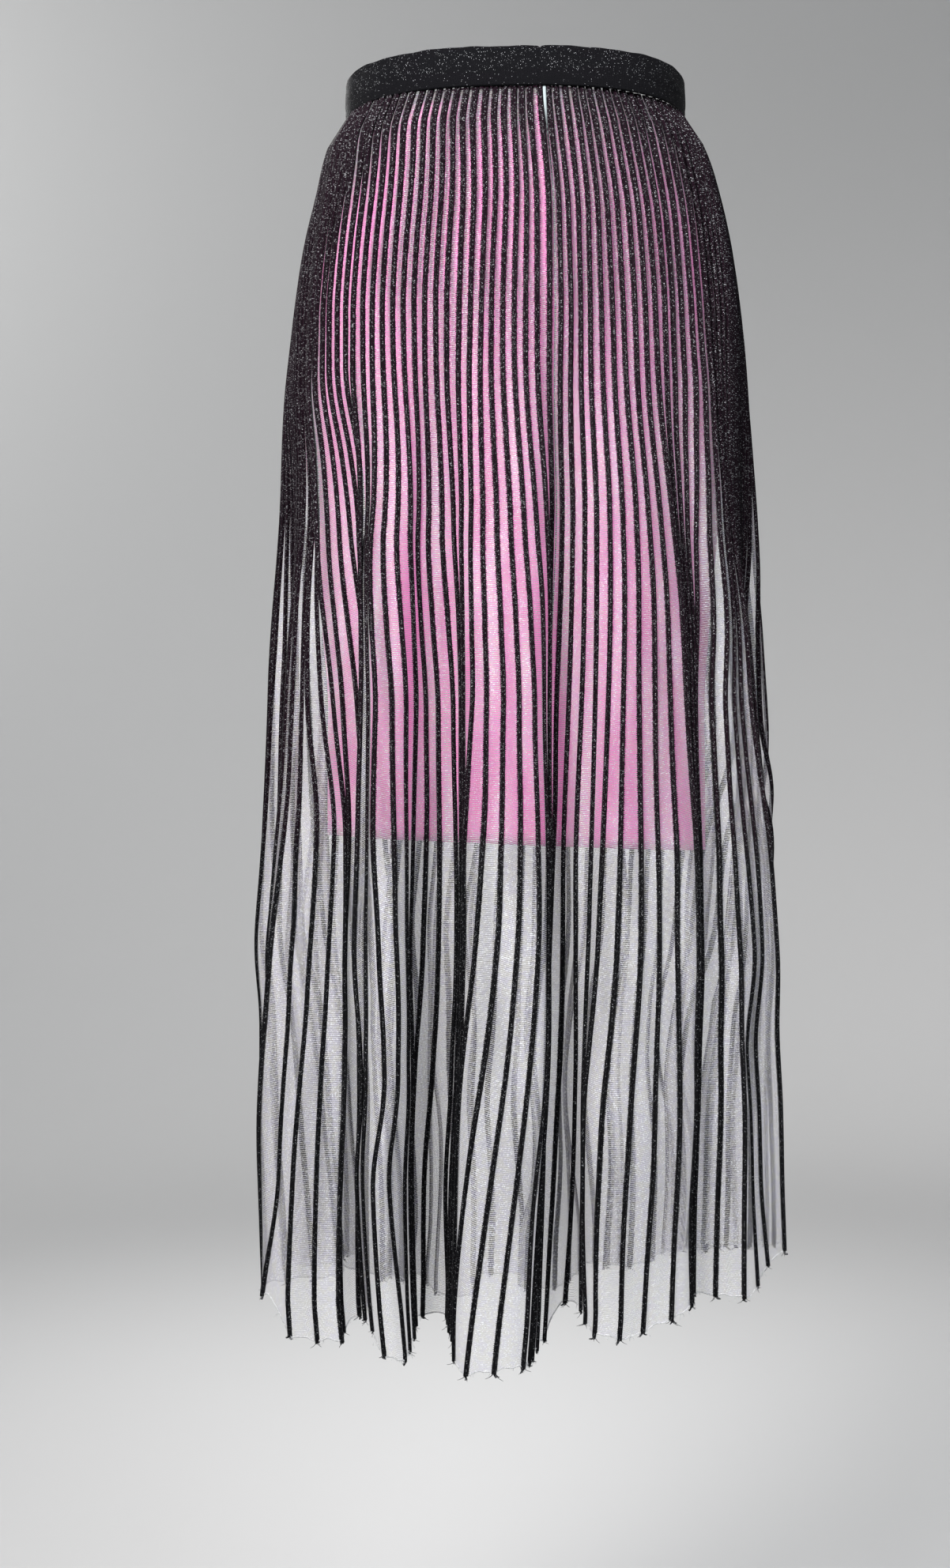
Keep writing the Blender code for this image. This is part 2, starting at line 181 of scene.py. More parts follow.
# The walls of the folds, in the order of the ribs, which are counted to the right from rib 0.
# at: the rib at the wall's middle, wide: its width in ribs, lean: its angle from the outline in
# degrees, outward when positive. The folds at the back lean in and out by turns.
BACK_WALLS = ((37.0, 36.8), (41.0, 41.2), (46.5, 46.2), (50.5, 50.6),
              (56.0, 55.8), (60.0, 60.4), (65.5, 65.2), (69.5, 69.7))
WALLS = table("at_hip at_hem wide_hip wide_hem lean_hip lean_knee lean_hem",
    (-25.5, -25.0, 2.0, 3.0, 15, 50, 88),
    (-19.0, -18.3, 1.0, 1.8, 0, -30, -72),
    (-16.7, -16.1, 2.2, 2.2, 44, 58, 66),
    (-12.6, -12.2, 1.4, 4.2, -66, -82, -104),
    (-7.9, -6.2, 2.2, 6.0, 54, 82, 90),
    (-0.7, 0.6, 2.2, 3.4, -66, -84, -84),
    (2.3, 4.9, 4.0, 3.2, 43, 52, 80),
    (7.0, 7.2, 2.0, 2.0, -5, -12, -22),
    (10.4, 10.5, 2.2, 1.2, -34, -46, -84),
    (12.8, 12.2, 1.6, 2.2, 16, 26, 36),
    (17.0, 18.2, 2.0, 3.6, -20, -48, -84),
    (22.5, 22.9, 2.2, 3.2, 48, 75, 88),
    (27.5, 27.4, 2.4, 3.2, -62, -80, -90),
    (31.5, 31.8, 2.4, 3.2, 62, 80, 90),
    *((*at, 2.4, 3.2, 66 * way, 84 * way, 92 * way) for at, way in zip(BACK_WALLS, (-1, 1) * 4)),
    (74.5, 74.5, 2.4, 3.2, -62, -80, -90),
    (78.5, 78.9, 2.4, 3.0, 62, 80, 90),
    (83.3, 83.0, 2.0, 2.8, -45, -70, -88))
FOLDS_START_Z = -0.12
HIP_Z = -0.32
KNEE_Z = -0.53
BEND_HIP = 1.0
BEND_HEM = 0.75

# How far the uneven hem lies above the level HEM_Z, by rib
HEM_LIFTS = table("rib height",
    (-27, 0.034), (-22, 0.030), (-21, 0.006), (-19, 0.007),
    (-17, 0.029), (-15.5, 0.007), (-14, -0.003), (-9.5, 0.009),
    (-4, 0.004), (-3, -0.001), (-1.5, 0.002), (2, 0.006),
    (3, 0.030), (7, 0.019), (11, 0.038), (13, 0.034),
    (16, 0.058), (24, 0.044), (36, 0.020), (48, -0.008),
    (58, -0.014), (70, 0.012), (78, 0.034))

# Outline of the slip
SLIP_SECTIONS = table("z half_width front_depth back_depth",
    (-0.015, 0.1172, 0.0945, 0.0880),
    (-0.033, 0.1320, 0.0960, 0.0940),
    (-0.062, 0.1390, 0.0975, 0.0985),
    (-0.105, 0.1480, 0.1000, 0.1030),
    (-0.137, 0.1525, 0.1010, 0.1040),
    (-0.165, 0.1530, 0.0990, 0.1025),
    (-0.200, 0.1535, 0.0975, 0.1000),
    (-0.240, 0.1525, 0.0940, 0.0965),
    (-0.290, 0.1480, 0.0905, 0.0895),
    (-0.320, 0.1450, 0.0885, 0.0865),
    (-0.378, 0.1395, 0.0900, 0.0890),
    (-0.436, 0.1355, 0.0890, 0.0890),
    (-0.540, 0.1360, 0.0860, 0.0870))

# How many ribs the cloth slides into its folds on the way down: at each of these ribs, by how
# many ribs it lies further to the right at the heights of SLIDE_LEVELS
SLIDE_LEVELS = (-0.02, -0.07, -0.20, -0.26, -0.32, -0.38, -0.44, -0.53, -0.65)
SLIDES = {
    -37: (3, 4.5, 6, 6.3, 6.2, 6, 5.5, 5, 4),
    -24: (0, 0, 0, 1.0, 2.0, 3.1, 4.0, 5.0, 5.0),
    -21: (0, 0, 0, 1.0, 2.0, 3.0, 3.6, 3.7, 3.7),
    -19: (0, 0, 0, 1.0, 1.9, 2.2, 2.3, 2.4, 2.4),
    -17: (0, 0, 0, 0, 0.15, 0.6, 1.0, 1.0, 1.0),
    -2: (0, 0, 0, 0, 0.15, 0.6, 1.0, 1.0, 1.0),
    0: (0, 0, 0, 0, 0, 0, 0, 0, 0),
    10: (0, 0, 0, 0, 0, 0, 0, 0, 0),
    14: (0, 0, 0, -0.9, -1.8, -2.4, -3.0, -3.0, -3.0),
    17: (0, 0, 0, -0.9, -1.8, -2.4, -3.0, -3.0, -3.0),
    30: (-3, -4.8, -6.5, -7, -7.5, -8, -8, -6, -4.5),
    56: (0, 0, 0, 0, 0, 0, 0, 0, 0),
}

# How far the ribs of the photographed side sway off the smooth folds, to the right, in
# millimetres at the heights of SWAY_LEVELS: a row for each rib from -31 to 22
SWAY_LEVELS = (-0.05, -0.15, -0.28, -0.42, -0.52, -0.60, -0.68, -0.76, -0.84)
NO_SWAY = (0,) * len(SWAY_LEVELS)
SWAYS = dict(enumerate((
    NO_SWAY,
    NO_SWAY,
    (0, 0, 1, 2, 4, 4, 2, 2, 1),
    (0, 1, 2, 5, 6, 6, 1, 0, 0),
    (1, 2, 5, 8, 9, 15, 12, 8, -6),
    (1, 3, 5, 6, 15, 19, 14, 7, 0),
    (1, 2, 5, 9, 18, 21, 15, 9, 3),
    (0, 1, 0, 10, 14, 18, 14, 7, 0),
    (0, 0, 1, 8, 9, 10, 3, -3, -7),
    (0, 0, 2, 8, 12, 11, 6, 1, -3),
    (0, -1, 2, 8, 9, 8, 4, -2, -6),
    (-1, -1, 1, 5, 6, 3, -2, -8, -12),
    (0, -1, 0, 2, 2, 0, -5, -11, -15),
    (-1, -2, -3, 1, 0, -2, -5, -15, -17),
    (-1, -2, 1, 5, 6, 5, -3, -12, -14),
    (-1, -2, 1, 2, 1, 5, 1, -14, -16),
    (-1, -2, 2, 2, 3, 3, -6, -20, -18),
    (-1, -2, 2, 1, 1, 1, -5, -12, -14),
    (0, -2, 1, 2, 1, 0, -3, -8, -9),
    (0, -2, -1, -1, 2, 3, -3, -6, -6),
    (0, -2, -3, -4, -2, 0, -4, -8, -6),
    (0, -2, -3, -4, -2, 0, -5, -8, -4),
    (0, -2, -4, -3, -2, -1, -4, -6, -5),
    (0, -1, -4, -4, -2, -1, -2, -4, -4),
    (0, -1, -4, -4, -4, -1, -1, -1, -2),
    (1, -1, -5, -6, -1, 1, -1, -1, -1),
    (1, -2, -5, -6, -2, 2, 2, 1, -1),
    (1, -2, -5, -7, -2, 1, 1, 0, -1),
    (1, -2, -5, -8, -3, 1, 0, -1, -2),
    (0, -2, -6, -9, -6, -4, -2, -4, -1),
    (-1, -2, -5, -6, -5, -4, -2, -2, -1),
    (0, -1, -5, -7, -6, -5, -3, -2, 0),
    (-1, -1, -6, -8, -6, -6, -4, -1, 1),
    (-2, -2, -7, -9, -10, -8, -3, 1, 3),
    (-2, -3, -7, -9, -11, -9, -4, -1, 0),
    (-2, -4, -8, -9, -10, -10, -7, -2, 1),
    (-3, -4, -8, -11, -13, -14, -14, -9, -2),
    (-4, -4, -8, -12, -14, -15, -15, -10, -3),
    (-4, -4, -7, -12, -12, -12, -12, -9, -4),
    (-4, -3, -7, -11, -12, -12, -11, -7, -5),
    (-4, -3, -7, -11, -11, -13, -10, -7, -4),
    (-4, -3, -5, -7, -6, -8, -10, -10, -5),
    (-4, -3, -5, -7, -8, -9, -9, -8, -5),
    (-4, -4, -4, -5, -7, -9, -9, -7, -5),
    (-3, -4, -3, -4, -6, -8, -8, -7, -4),
    (-2.5, -3, -1, -4, -8, -11, -10, -7, -3),
    (-2, -3, 0, 0, -2, -5, -5, -5, -4),
    (-2, -3, 0, -1, -4, -6, -6, -5, -3),
    (-2, -4, -1, -4, -6, -7, -15, -13, -7),
    (-2, -2, -2, -3, -4, -7, -14, -13, -5),
    (-1, -1, -1, 0, 2, 0, -1, -1, 2),
    (0, 0, 0, 0, 0, 0, -1, 0, 1),
    NO_SWAY,
    NO_SWAY,
), -31))

# The ribs of the hidden side sway at random, by some millimetres
HIDDEN_RIBS = range(31, 74, 2)
HIDDEN_SWAYS = (0, 0.3, 0.8, 1.4, 2.2, 3.0, 3.5, 3.5, 3.5)

# How far the band and the top of the cloths are turned, in radians, and where this ends
TOP_TURN = -0.05
TOP_TURN_END_Z = -0.10

# Fineness of the sums that lay the cloth along the outline. SOFT_START eases the folds in where
# the cloth is hardly longer than its outline, and ELLIPSE is the squareness of an ellipse.
SAMPLES_PER_RIB = 8
OUTLINE_SAMPLES = 1440
NORMAL_REACH = 1 / 400
CURVATURE_REACH = 1 / 120
FIT_ROUNDS = 4
BEND_ROUNDS = 3
LEAST_STRETCH = 0.3
LEAN_HALVINGS = 40
MOST_LEAN_SCALE = 4.0
SOFT_START = 0.02
ELLIPSE = 2.0

# The narrow seam of the knit, halfway between ribs 0 and 1: how far it lies outside the knit,
# and where it turns from pale to black
SEAM_SIZES = table("z width out",
    (-0.015, 0.0026, 0.0014),
    (-0.027, 0.0022, 0.0012),
    (-0.040, 0.0014, 0.0008),
    (-0.060, 0.0009, 0.0000),
    (-0.100, 0.0009, -0.0008),
    (-0.880, 0.0009, -0.0008))
SEAM_RIB = 0.5
SEAM_HEIGHT = 0.0006
SEAM_END = 0.995
SEAM_ROWS = 160
SEAM_SIDES = 6
SEAM_PALE_Z = -0.024
SEAM_PALE_RUN = 0.022

# Colours of the yarns; over the pink slip the ribs' stitch highlight is painted pink, a painted
# reflection of the slip
KNIT_COLOR = (0.57, 0.56, 0.54)
KNIT_COOL = (0.53, 0.52, 0.60)
# The flecks of the white knit are painted brighter, a painted glint on its yarn
KNIT_FLECK_GLINT = (0.70, 0.71, 0.74)
YARN_BLACK = (0.003, 0.003, 0.004)
# The raised stitches of the ribs are painted lighter than the grooves between them, a painted
# highlight and shade
YARN_STITCH_HIGHLIGHT = (0.006, 0.006, 0.007)
YARN_HIGHLIGHT_PINK_REFLECTION = (0.010, 0.003, 0.007)
# The metallic yarn's specks, painted bright as a painted glint
SILVER_GLINT = (0.42, 0.43, 0.45)
SEAM_PALE = (0.27, 0.31, 0.32)
SLIP_COLOR = (0.82, 0.12, 0.47)
SLIP_PALE = (0.86, 0.17, 0.54)
EDGE_COLORS = ((0.42, 0.43, 0.44), (0.66, 0.66, 0.67))

# Specks of metallic yarn, painted bright grey in the base colour as a painted glint: their size
# and how many there are, on the ribs low down and above the heights of RIB_GLINTS_Z, and on the
# band below and above its stitched line
GLINT = 0.00038
BAND_GLINT = 0.00032
RIB_GLINTS = 0.19
RIB_GLINTS_LOW = 0.12
RIB_GLINTS_Z = (-0.70, -0.45)
BAND_GLINTS = 0.032
BAND_GLINTS_LOW = 0.01
GLINT_POWER = 2.2

# How much of the sheer knit is yarn: between the courses, on them, on their dashes; how much less
# near the top and more low down; and how unevenly it lies, in tall streaks, which are weaker in
# the upper part, and in flecks. Across each strip it is painted thinner at the left and denser at
# the right, a painted shading of the strip. Each _Z has the heights between which the change
# happens.
KNIT_GROUND = 0.04
KNIT_LINE = 0.44
KNIT_DASH = 0.14
KNIT_UPPER = -0.15
KNIT_LOWER = 0.06
KNIT_STREAK = 0.13
KNIT_STREAK_UPPER = 0.35
KNIT_SIDE_SHADE = 0.08
KNIT_FLECK = 0.15
KNIT_UPPER_Z = (-0.30, -0.10)
KNIT_LOWER_Z = (-0.45, -0.62)
KNIT_STREAK_Z = (-0.40, -0.20)
KNIT_SHADE_REACH = 0.0045
KNIT_LEAST = 0.03
KNIT_MOST = 0.97

# How far the black stitches reach beyond a rib's centre, and their teeth low down and high up
TOOTH_ROOT = 0.0016
TOOTH_LOW = 0.0007
TOOTH_HIGH = 0.0010
TOOTH_Z = (-0.60, -0.30)

# Fineness of the random patterns, in waves per metre
STREAK_NOISE = 70.0
FLECK_NOISE = 1000.0
TOOTH_NOISE = 500.0
TINT_NOISE = 260.0
SLIP_NOISE = 25.0
EDGE_NOISE = 900.0

# Relief of the stitches: how steeply their legs climb, where the groove beside them starts, how
# much of it lies in the legs, and its depth on the ribs and on the finer knits
STITCH_CLIMB = 1.3
STITCH_GROOVE = 0.30
STITCH_LEGS = 0.6
RIB_BUMP = 0.0005
FINE_BUMP = 0.0003

# Floor, camera and lights. A lamp has its name, its place, the point that it faces, its size,
# power, spread and colour.
FLOOR_Z = -1.30
FLOOR_COLOR = (0.57, 0.57, 0.57)
BOWL_RADIUS = 6.0
BOWL_RISE = 5.5
BOWL_FLAT = 0.45
BOWL_POWER = 1.5
BOWL_CROWDING = 1.6
BOWL_RINGS = 48
BOWL_STEPS = 96
FRAME_HEIGHT = 1984
FOCAL_PIXELS = 2680.0
HORIZON_ROW = 1000.0
SENSOR = 36.0
CAMERA_PLACE = (-0.0293, -1.54, -0.493)
CLIP = (0.05, 60.0)
WORLD_COLOR = (0.96, 0.98, 1.0)
WORLD_STRENGTH = 0.42
LAMPS = (
    ("key", (-0.8, -1.5, 1.0), (0.0, 0.0, 0.10), 1.1, 19.0, 1.2, (1.0, 0.98, 0.97)),
    ("fill", (1.0, -1.9, 0.6), (0.0, 0.0, -0.02), 1.6, 13.0, 1.75, (0.94, 0.97, 1.0)),
    ("back", (-0.4, 2.7, 0.9), (0.0, 0.0, -0.3), 1.6, 26.0, 1.75, (1.0, 1.0, 1.0)),
    ("wash", (-3.0, 2.2, 2.0), (-2.2, 6.0, 0.7), 1.6, 80.0, 3.14, (1.0, 1.0, 0.99)),
)

# Fineness of the visible meshes
CLOTH_LEVELS = 90
PANEL_ROWS = 130
PANEL_COLUMNS_PER_RIB = 6
RIB_ROWS = 120
RIB_SIDES = 7
TUFT_SIDES = 5
EDGE_SIDES = 4

# Steps of the patterns on the tubes and the seam, for one side and one row
TUBE_PATTERN = (0.001, 0.0008)
SEAM_PATTERN = 0.0006

# Rows and columns from a quad's first corner to each of its four
QUAD_CORNERS = ((0, 0), (1, 0), (1, 1), (0, 1))


def smooth_step(x):
    x = np.clip(x, 0.0, 1.0)
    return x * x * (3.0 - 2.0 * x)


def read_curve(xs, ys, x):
    """Read a monotone cubic through the points of a table, held level past its ends."""
    xs = np.asarray(xs, float)
    ys = np.asarray(ys, float)
    run = np.diff(xs)
    rise = np.diff(ys) / run
    slope = np.zeros(len(xs))
    slope[0] = rise[0]
    slope[-1] = rise[-1]
    for i in range(1, len(xs) - 1):
        if rise[i - 1] * rise[i] > 0:
            before = 2.0 * run[i] + run[i - 1]
            after = run[i] + 2.0 * run[i - 1]
            slope[i] = (before + after) / (before / rise[i - 1] + after / rise[i])
    x = np.clip(x, xs[0], xs[-1])
    i = np.clip(np.searchsorted(xs, x, side="right") - 1, 0, len(run) - 1)
    t = (x - xs[i]) / run[i]
    start = (1.0 + 2.0 * t) * (1.0 - t) ** 2 * ys[i] + t * (1.0 - t) ** 2 * run[i] * slope[i]
    end = t * t * (3.0 - 2.0 * t) * ys[i + 1] + t * t * (t - 1.0) * run[i] * slope[i + 1]
    return start + end


def read_table(rows, column, z):
    """Read one column of a table whose rows go downwards in z."""
    return read_curve([-row.z for row in rows], [getattr(row, column) for row in rows], -z)


def near_rib(rib):
    """The same rib position counted from rib 0 the shorter way, to the left below 0."""
    return np.mod(rib + RIB_COUNT / 2, RIB_COUNT) - RIB_COUNT / 2


def read_ribs(values, levels, rib, z):
    """Read values by rib and height, at arrays of rib positions and heights."""
    ribs = sorted(values)
    depths = [-level for level in levels]
    columns = [read_curve(depths, values[key], -z) for key in ribs]
    rib = np.broadcast_to(near_rib(rib), np.shape(columns[0]))
    total = np.zeros(np.shape(columns[0]))
    for k, key in enumerate(ribs):
        before = ribs[k - 1] if k else ribs[-1] - RIB_COUNT
        after = ribs[k + 1] if k + 1 < len(ribs) else ribs[0] + RIB_COUNT
        for turn in (-RIB_COUNT, 0, RIB_COUNT):
            away = rib - key + turn
            share = np.where(away < 0, 1 + away / (key - before), 1 - away / (after - key))
            total += columns[k] * np.clip(share, 0.0, None)
    return total


class Outline:
    """A closed outline in plan, known by its arc length, anticlockwise from above."""

    def __init__(self, half_width, front_depth, back_depth, front_squareness, back_squareness):
        turn = np.linspace(0.0, 2.0 * math.pi, OUTLINE_SAMPLES + 1)
        cosine = np.cos(turn)
        sine = np.sin(turn)
        in_front = sine < 0
        power = ELLIPSE / np.where(in_front, front_squareness, back_squareness)
        depth = np.where(in_front, front_depth, back_depth)
        self.x = half_width * np.sign(cosine) * np.abs(cosine) ** power
        self.y = depth * np.sign(sine) * np.abs(sine) ** power
        steps = np.hypot(np.diff(self.x), np.diff(self.y))
        self.arc = np.concatenate([[0.0], np.cumsum(steps)])
        self.length = self.arc[-1]

    def point(self, arc):
        arc = np.mod(arc, self.length)
        return np.interp(arc, self.arc, self.x), np.interp(arc, self.arc, self.y)

    def even_points(self, count):
        return self.point(np.arange(count) * self.length / count)

    def normal(self, arc):
        """Outward normal, from a short chord round the place."""
        reach = self.length * NORMAL_REACH
        x0, y0 = self.point(arc - reach)
        x1, y1 = self.point(arc + reach)
        chord = np.hypot(x1 - x0, y1 - y0)
        return (y1 - y0) / chord, (x0 - x1) / chord

    def curvature(self, arc):
        reach = self.length * CURVATURE_REACH
        x0, y0 = self.normal(arc - reach)
        x1, y1 = self.normal(arc + reach)
        return (x0 * y1 - y0 * x1) / (2.0 * reach)

    def front_arc(self, x):
        """Arc length of the front point that has this x."""
        front = self.y <= 0
        order = np.argsort(self.x[front])
        return float(np.interp(x, self.x[front][order], self.arc[front][order]))


def fold_lean(rib, z):
    """How far the cloth leans off the outline at each rib position, in radians, unscaled."""
    grown = smooth_step((FOLDS_START_Z - z) / (FOLDS_START_Z - HIP_Z))
    down = np.clip((HIP_Z - z) / (HIP_Z - HEM_Z), 0.0, 1.0)
    bend = BEND_HIP + (BEND_HEM - BEND_HIP) * down
    levels = (-HIP_Z, -KNEE_Z, -HEM_Z)
    lean = np.zeros_like(rib)
    for wall in WALLS:
        middle = wall.at_hip + (wall.at_hem - wall.at_hip) * down
        reach = (wall.wide_hip + (wall.wide_hem - wall.wide_hip) * down) / 2.0 + bend
        away = np.abs(near_rib(rib - middle))
        degrees = read_curve(levels, (wall.lean_hip, wall.lean_knee, wall.lean_hem), -z)
        lean += math.radians(grown * degrees) * smooth_step((reach - away) / (2.0 * bend))
    return lean


def fit_lean(lean, share):
    """Scale the leans until the cloth covers this share of its own length."""
    if not lean.any() or share >= 1.0:
        return np.zeros_like(lean)
    low, high = 0.0, MOST_LEAN_SCALE
    for _ in range(LEAN_HALVINGS):
        scale = (low + high) / 2.0
        if np.cos(scale * lean)[:-1].mean() > share:
            low = scale
        else:
            high = scale
    return scale * lean


def running_sum(steps):
    return np.concatenate([[0.0], np.cumsum((steps[1:] + steps[:-1]) / 2.0)])


def cloth_section(z):
    """The cloth's middle line in plan at one height: rows of x, y and its outward normal."""
    reach_left, reach_right, reach_front, reach_back, pitch = (
        read_table(SECTIONS, name, z) for name in SECTIONS[0]._fields[1:])
    squareness = [read_table(FORMS, name, z) for name in ("front_squareness", "back_squareness")]
    start_x = read_table(FORMS, "start_x", z)
    rib = np.arange(RIB_COUNT * SAMPLES_PER_RIB + 1) / SAMPLES_PER_RIB
    lean = fold_lean(rib, z)
    step = pitch / SAMPLES_PER_RIB
    left = right = front = back = 0.0
    for _ in range(FIT_ROUNDS):
        outline = Outline((reach_left + reach_right - left - right) / 2.0, reach_front - front,
                          reach_back - back, *squareness)
        spare = max(1.0 - outline.length / (RIB_COUNT * pitch), 0.0)
        angle = fit_lean(lean, 1.0 - spare ** 2 / (spare + SOFT_START))
        height = running_sum(np.sin(angle) * step)
        height -= height[-1] * rib / RIB_COUNT
        height -= height[:-1].mean()
        along = running_sum(np.cos(angle) * step)
        start = outline.front_arc(start_x - (reach_right - reach_left + left - right) / 2.0)
        for _ in range(BEND_ROUNDS):
            bent = 1.0 + outline.curvature(start + along * outline.length / along[-1]) * height
            along = running_sum(np.cos(angle) * step / np.clip(bent, LEAST_STRETCH, None))
        arc = start + along * outline.length / along[-1]
        x, y = outline.point(arc)
        normal_x, normal_y = outline.normal(arc)
        x = x + height * normal_x + (reach_right - reach_left + left - right) / 2.0
        y = y + height * normal_y
        left += -x.min() - reach_left
        right += x.max() - reach_right
        front += -y.min() - reach_front
        back += y.max() - reach_back
    return np.stack([x, y])


def turn_top(x, y, z):
    """Turn points round the waist as the band is turned, less and less further down."""
    turn = TOP_TURN * smooth_step((z - TOP_TURN_END_Z) / (CLOTH_TOP_Z - TOP_TURN_END_Z))
    return x - y * turn, y + x * turn


def hem_height(rib):
    """Height of the hem at a rib position."""
    first = HEM_LIFTS[0].rib
    rib = np.mod(rib - first, RIB_COUNT) + first
    ribs = [lift.rib for lift in HEM_LIFTS] + [first + RIB_COUNT]
    lifts = [lift.height for lift in HEM_LIFTS] + [HEM_LIFTS[0].height]
    return HEM_Z + read_curve(ribs, lifts, rib)


class Cloth:
    """The skirt's middle surface, read at arrays of rib positions and shares of the way down."""

    def __init__(self):
        lowest = HEM_Z + min(lift.height for lift in HEM_LIFTS)
        self.levels = np.linspace(CLOTH_TOP_Z, lowest - 0.004, CLOTH_LEVELS)
        self.sections = np.stack([cloth_section(z) for z in self.levels])
        shuffle = np.random.RandomState(21)
        hidden = {rib: shuffle.normal(size=len(SWAY_LEVELS)) * HIDDEN_SWAYS for rib in HIDDEN_RIBS}
        self.sways = {**SWAYS, **hidden}

    def height(self, rib, down):
        hem = hem_height(rib + self.slide(rib, np.full(np.shape(rib), HEM_Z)))
        return CLOTH_TOP_Z + (hem - CLOTH_TOP_Z) * down

    def plan(self, rib, z):
        """x and y of the middle surface at a rib position and height, as arrays."""
        column = np.mod(rib + self.slide(rib, z), RIB_COUNT) * SAMPLES_PER_RIB
        left = np.minimum(column.astype(int), RIB_COUNT * SAMPLES_PER_RIB - 1)
        across = column - left
        row = np.interp(-z, -self.levels, np.arange(len(self.levels)))
        upper = np.minimum(row.astype(int), len(self.levels) - 2)
        part = row - upper
        found = []
        for axis in (0, 1):
            grid = self.sections[:, axis]
            above = grid[upper, left] * (1 - across) + grid[upper, left + 1] * across
            below = grid[upper + 1, left] * (1 - across) + grid[upper + 1, left + 1] * across
            found.append(above * (1 - part) + below * part)
        x, y = turn_top(*found, z)
        return [x + self.sway(rib, z), y]

    def slide(self, rib, z):
        return read_ribs(SLIDES, SLIDE_LEVELS, rib, z)

    def sway(self, rib, z):
        return read_ribs(self.sways, SWAY_LEVELS, rib, z) / 1000.0

    def frame(self, rib, down):
        """Points on the middle surface, with unit vectors outward and to the right."""
        z = self.height(rib, down)
        x, y = self.plan(rib, z)
        x0, y0 = self.plan(rib - 0.25, z)
        x1, y1 = self.plan(rib + 0.25, z)
        size = np.hypot(x1 - x0, y1 - y0)
        right = np.stack([(x1 - x0) / size, (y1 - y0) / size, np.zeros_like(size)], -1)
        outward = np.stack([right[..., 1], -right[..., 0], np.zeros_like(size)], -1)
        return np.stack([x, y, z], -1), outward, right


def grid_mesh(name, points, faces, uv, material):
    """A smooth mesh from arrays of points, of quads (n, 4), and of a UV for each quad corner."""
    mesh = bpy.data.meshes.new(name)
    mesh.vertices.add(points.size // 3)
    mesh.vertices.foreach_set("co", np.asarray(points, np.float32).ravel())
    mesh.loops.add(faces.size)
    mesh.loops.foreach_set("vertex_index", faces.astype(np.int32).ravel())
    mesh.polygons.add(len(faces))
    mesh.polygons.foreach_set("loop_start", np.arange(0, faces.size, 4, dtype=np.int32))
    mesh.polygons.foreach_set("use_smooth", np.ones(len(faces), bool))
    mesh.update(calc_edges=True)
    layer = mesh.uv_layers.new(name="cloth")
    layer.data.foreach_set("uv", np.asarray(uv, np.float32).ravel())
    mesh.validate()
    mesh.materials.append(material)
    item = bpy.data.objects.new(name, mesh)
    bpy.context.scene.collection.objects.link(item)
    return item


def corner_places(rows, columns):
    """Row and column of the corners of a grid's quads, as arrays (quads, 4).

    The last column is one past the end, where the grid closes on itself.
    """
    row, column = np.divmod(np.arange((rows - 1) * columns), columns)
    below, after = np.transpose(QUAD_CORNERS)
    return row[:, None] + below, column[:, None] + after


def quads(rows, columns):
    """Corner numbers of a grid of quads whose columns close on themselves."""
    row, column = corner_places(rows, columns)
    return row * columns + column % columns


def round_angles(steps):
    """Angles of a full turn in even steps."""
    return 2.0 * math.pi * np.arange(steps) / steps


def scallop(rib, shuffle):
    """How far the hem rises between two ribs, unevenly from bay to bay."""
    bay = np.floor(rib).astype(int) % RIB_COUNT
    share = rib - np.floor(rib)
    rise = SCALLOP * (SCALLOP_LEAST + SCALLOP_SPREAD * shuffle[bay])
    other = shuffle[(bay * 7 + 3) % RIB_COUNT]
    tilt = 1.0 + SCALLOP_TILT * (other - 0.5) * (share - 0.5)
    return rise * np.sin(math.pi * share) ** SCALLOP_FULLNESS * tilt


def hem_jag(rib):
    """A fine unevenness of the raw hem, the same wherever it is asked for."""
    turn = rib * 2.0 * math.pi / RIB_COUNT
    jags = np.sin(149 * turn + 0.4) + np.sin(211 * turn + 2.1) * np.sin(31 * turn)
    return HEM_JAG * jags / 2.0


def hem_rise(rib):
    """How far the knit's edge lies above the rib ends, as a share of the cloth's length."""
    shuffle = np.random.RandomState(4).rand(RIB_COUNT)
    return (scallop(rib, shuffle) + hem_jag(rib)) / CLOTH_LENGTH


def make_panel(cloth, material):
    """The knit between the ribs, one thin sheet all round, joined at the seam.

    Its first texture coordinate is the way from the nearer rib, below 0 to the left of that rib.
    """
    count = RIB_COUNT * PANEL_COLUMNS_PER_RIB
    down = np.linspace(0.0, 1.0, PANEL_ROWS)
    ribs, downs = np.meshgrid(np.arange(count) / PANEL_COLUMNS_PER_RIB, down)
    lift = hem_rise(ribs) * smooth_step((downs - (1.0 - HEM_SHARE)) / HEM_SHARE)
    points = cloth.frame(ribs, downs - lift)[0]
    row, column = corner_places(PANEL_ROWS, count)
    first = column[:, :1] % PANEL_COLUMNS_PER_RIB
    share = (first + column - column[:, :1]) / PANEL_COLUMNS_PER_RIB
    near = np.where(first < PANEL_COLUMNS_PER_RIB / 2, share, share - 1.0)
    pitch = read_table(SECTIONS, "rib_pitch", cloth.height(0.0 * down, down))
    uv = np.stack([near * pitch[row], down[row] * CLOTH_LENGTH], -1)
    return grid_mesh("skirt_knit", points, quads(PANEL_ROWS, count), uv, material)


def crowding(rib, z):
    """How far the ribs close up under the band: 0 in front and at the back, 1 at the sides."""
    rib = near_rib(rib)
    left_full, left_none, right_none, right_full = CROWD_RIBS
    left = (left_none - rib) / (left_none - left_full)
    right = (rib - right_none) / (right_full - right_none)
    side = np.minimum(np.maximum(left, right), (RIB_COUNT / 2 - np.abs(rib)) / CROWD_BACK)
    low, high = CROWD_ENDS
    return smooth_step(side) * smooth_step((z - low) / (high - low))


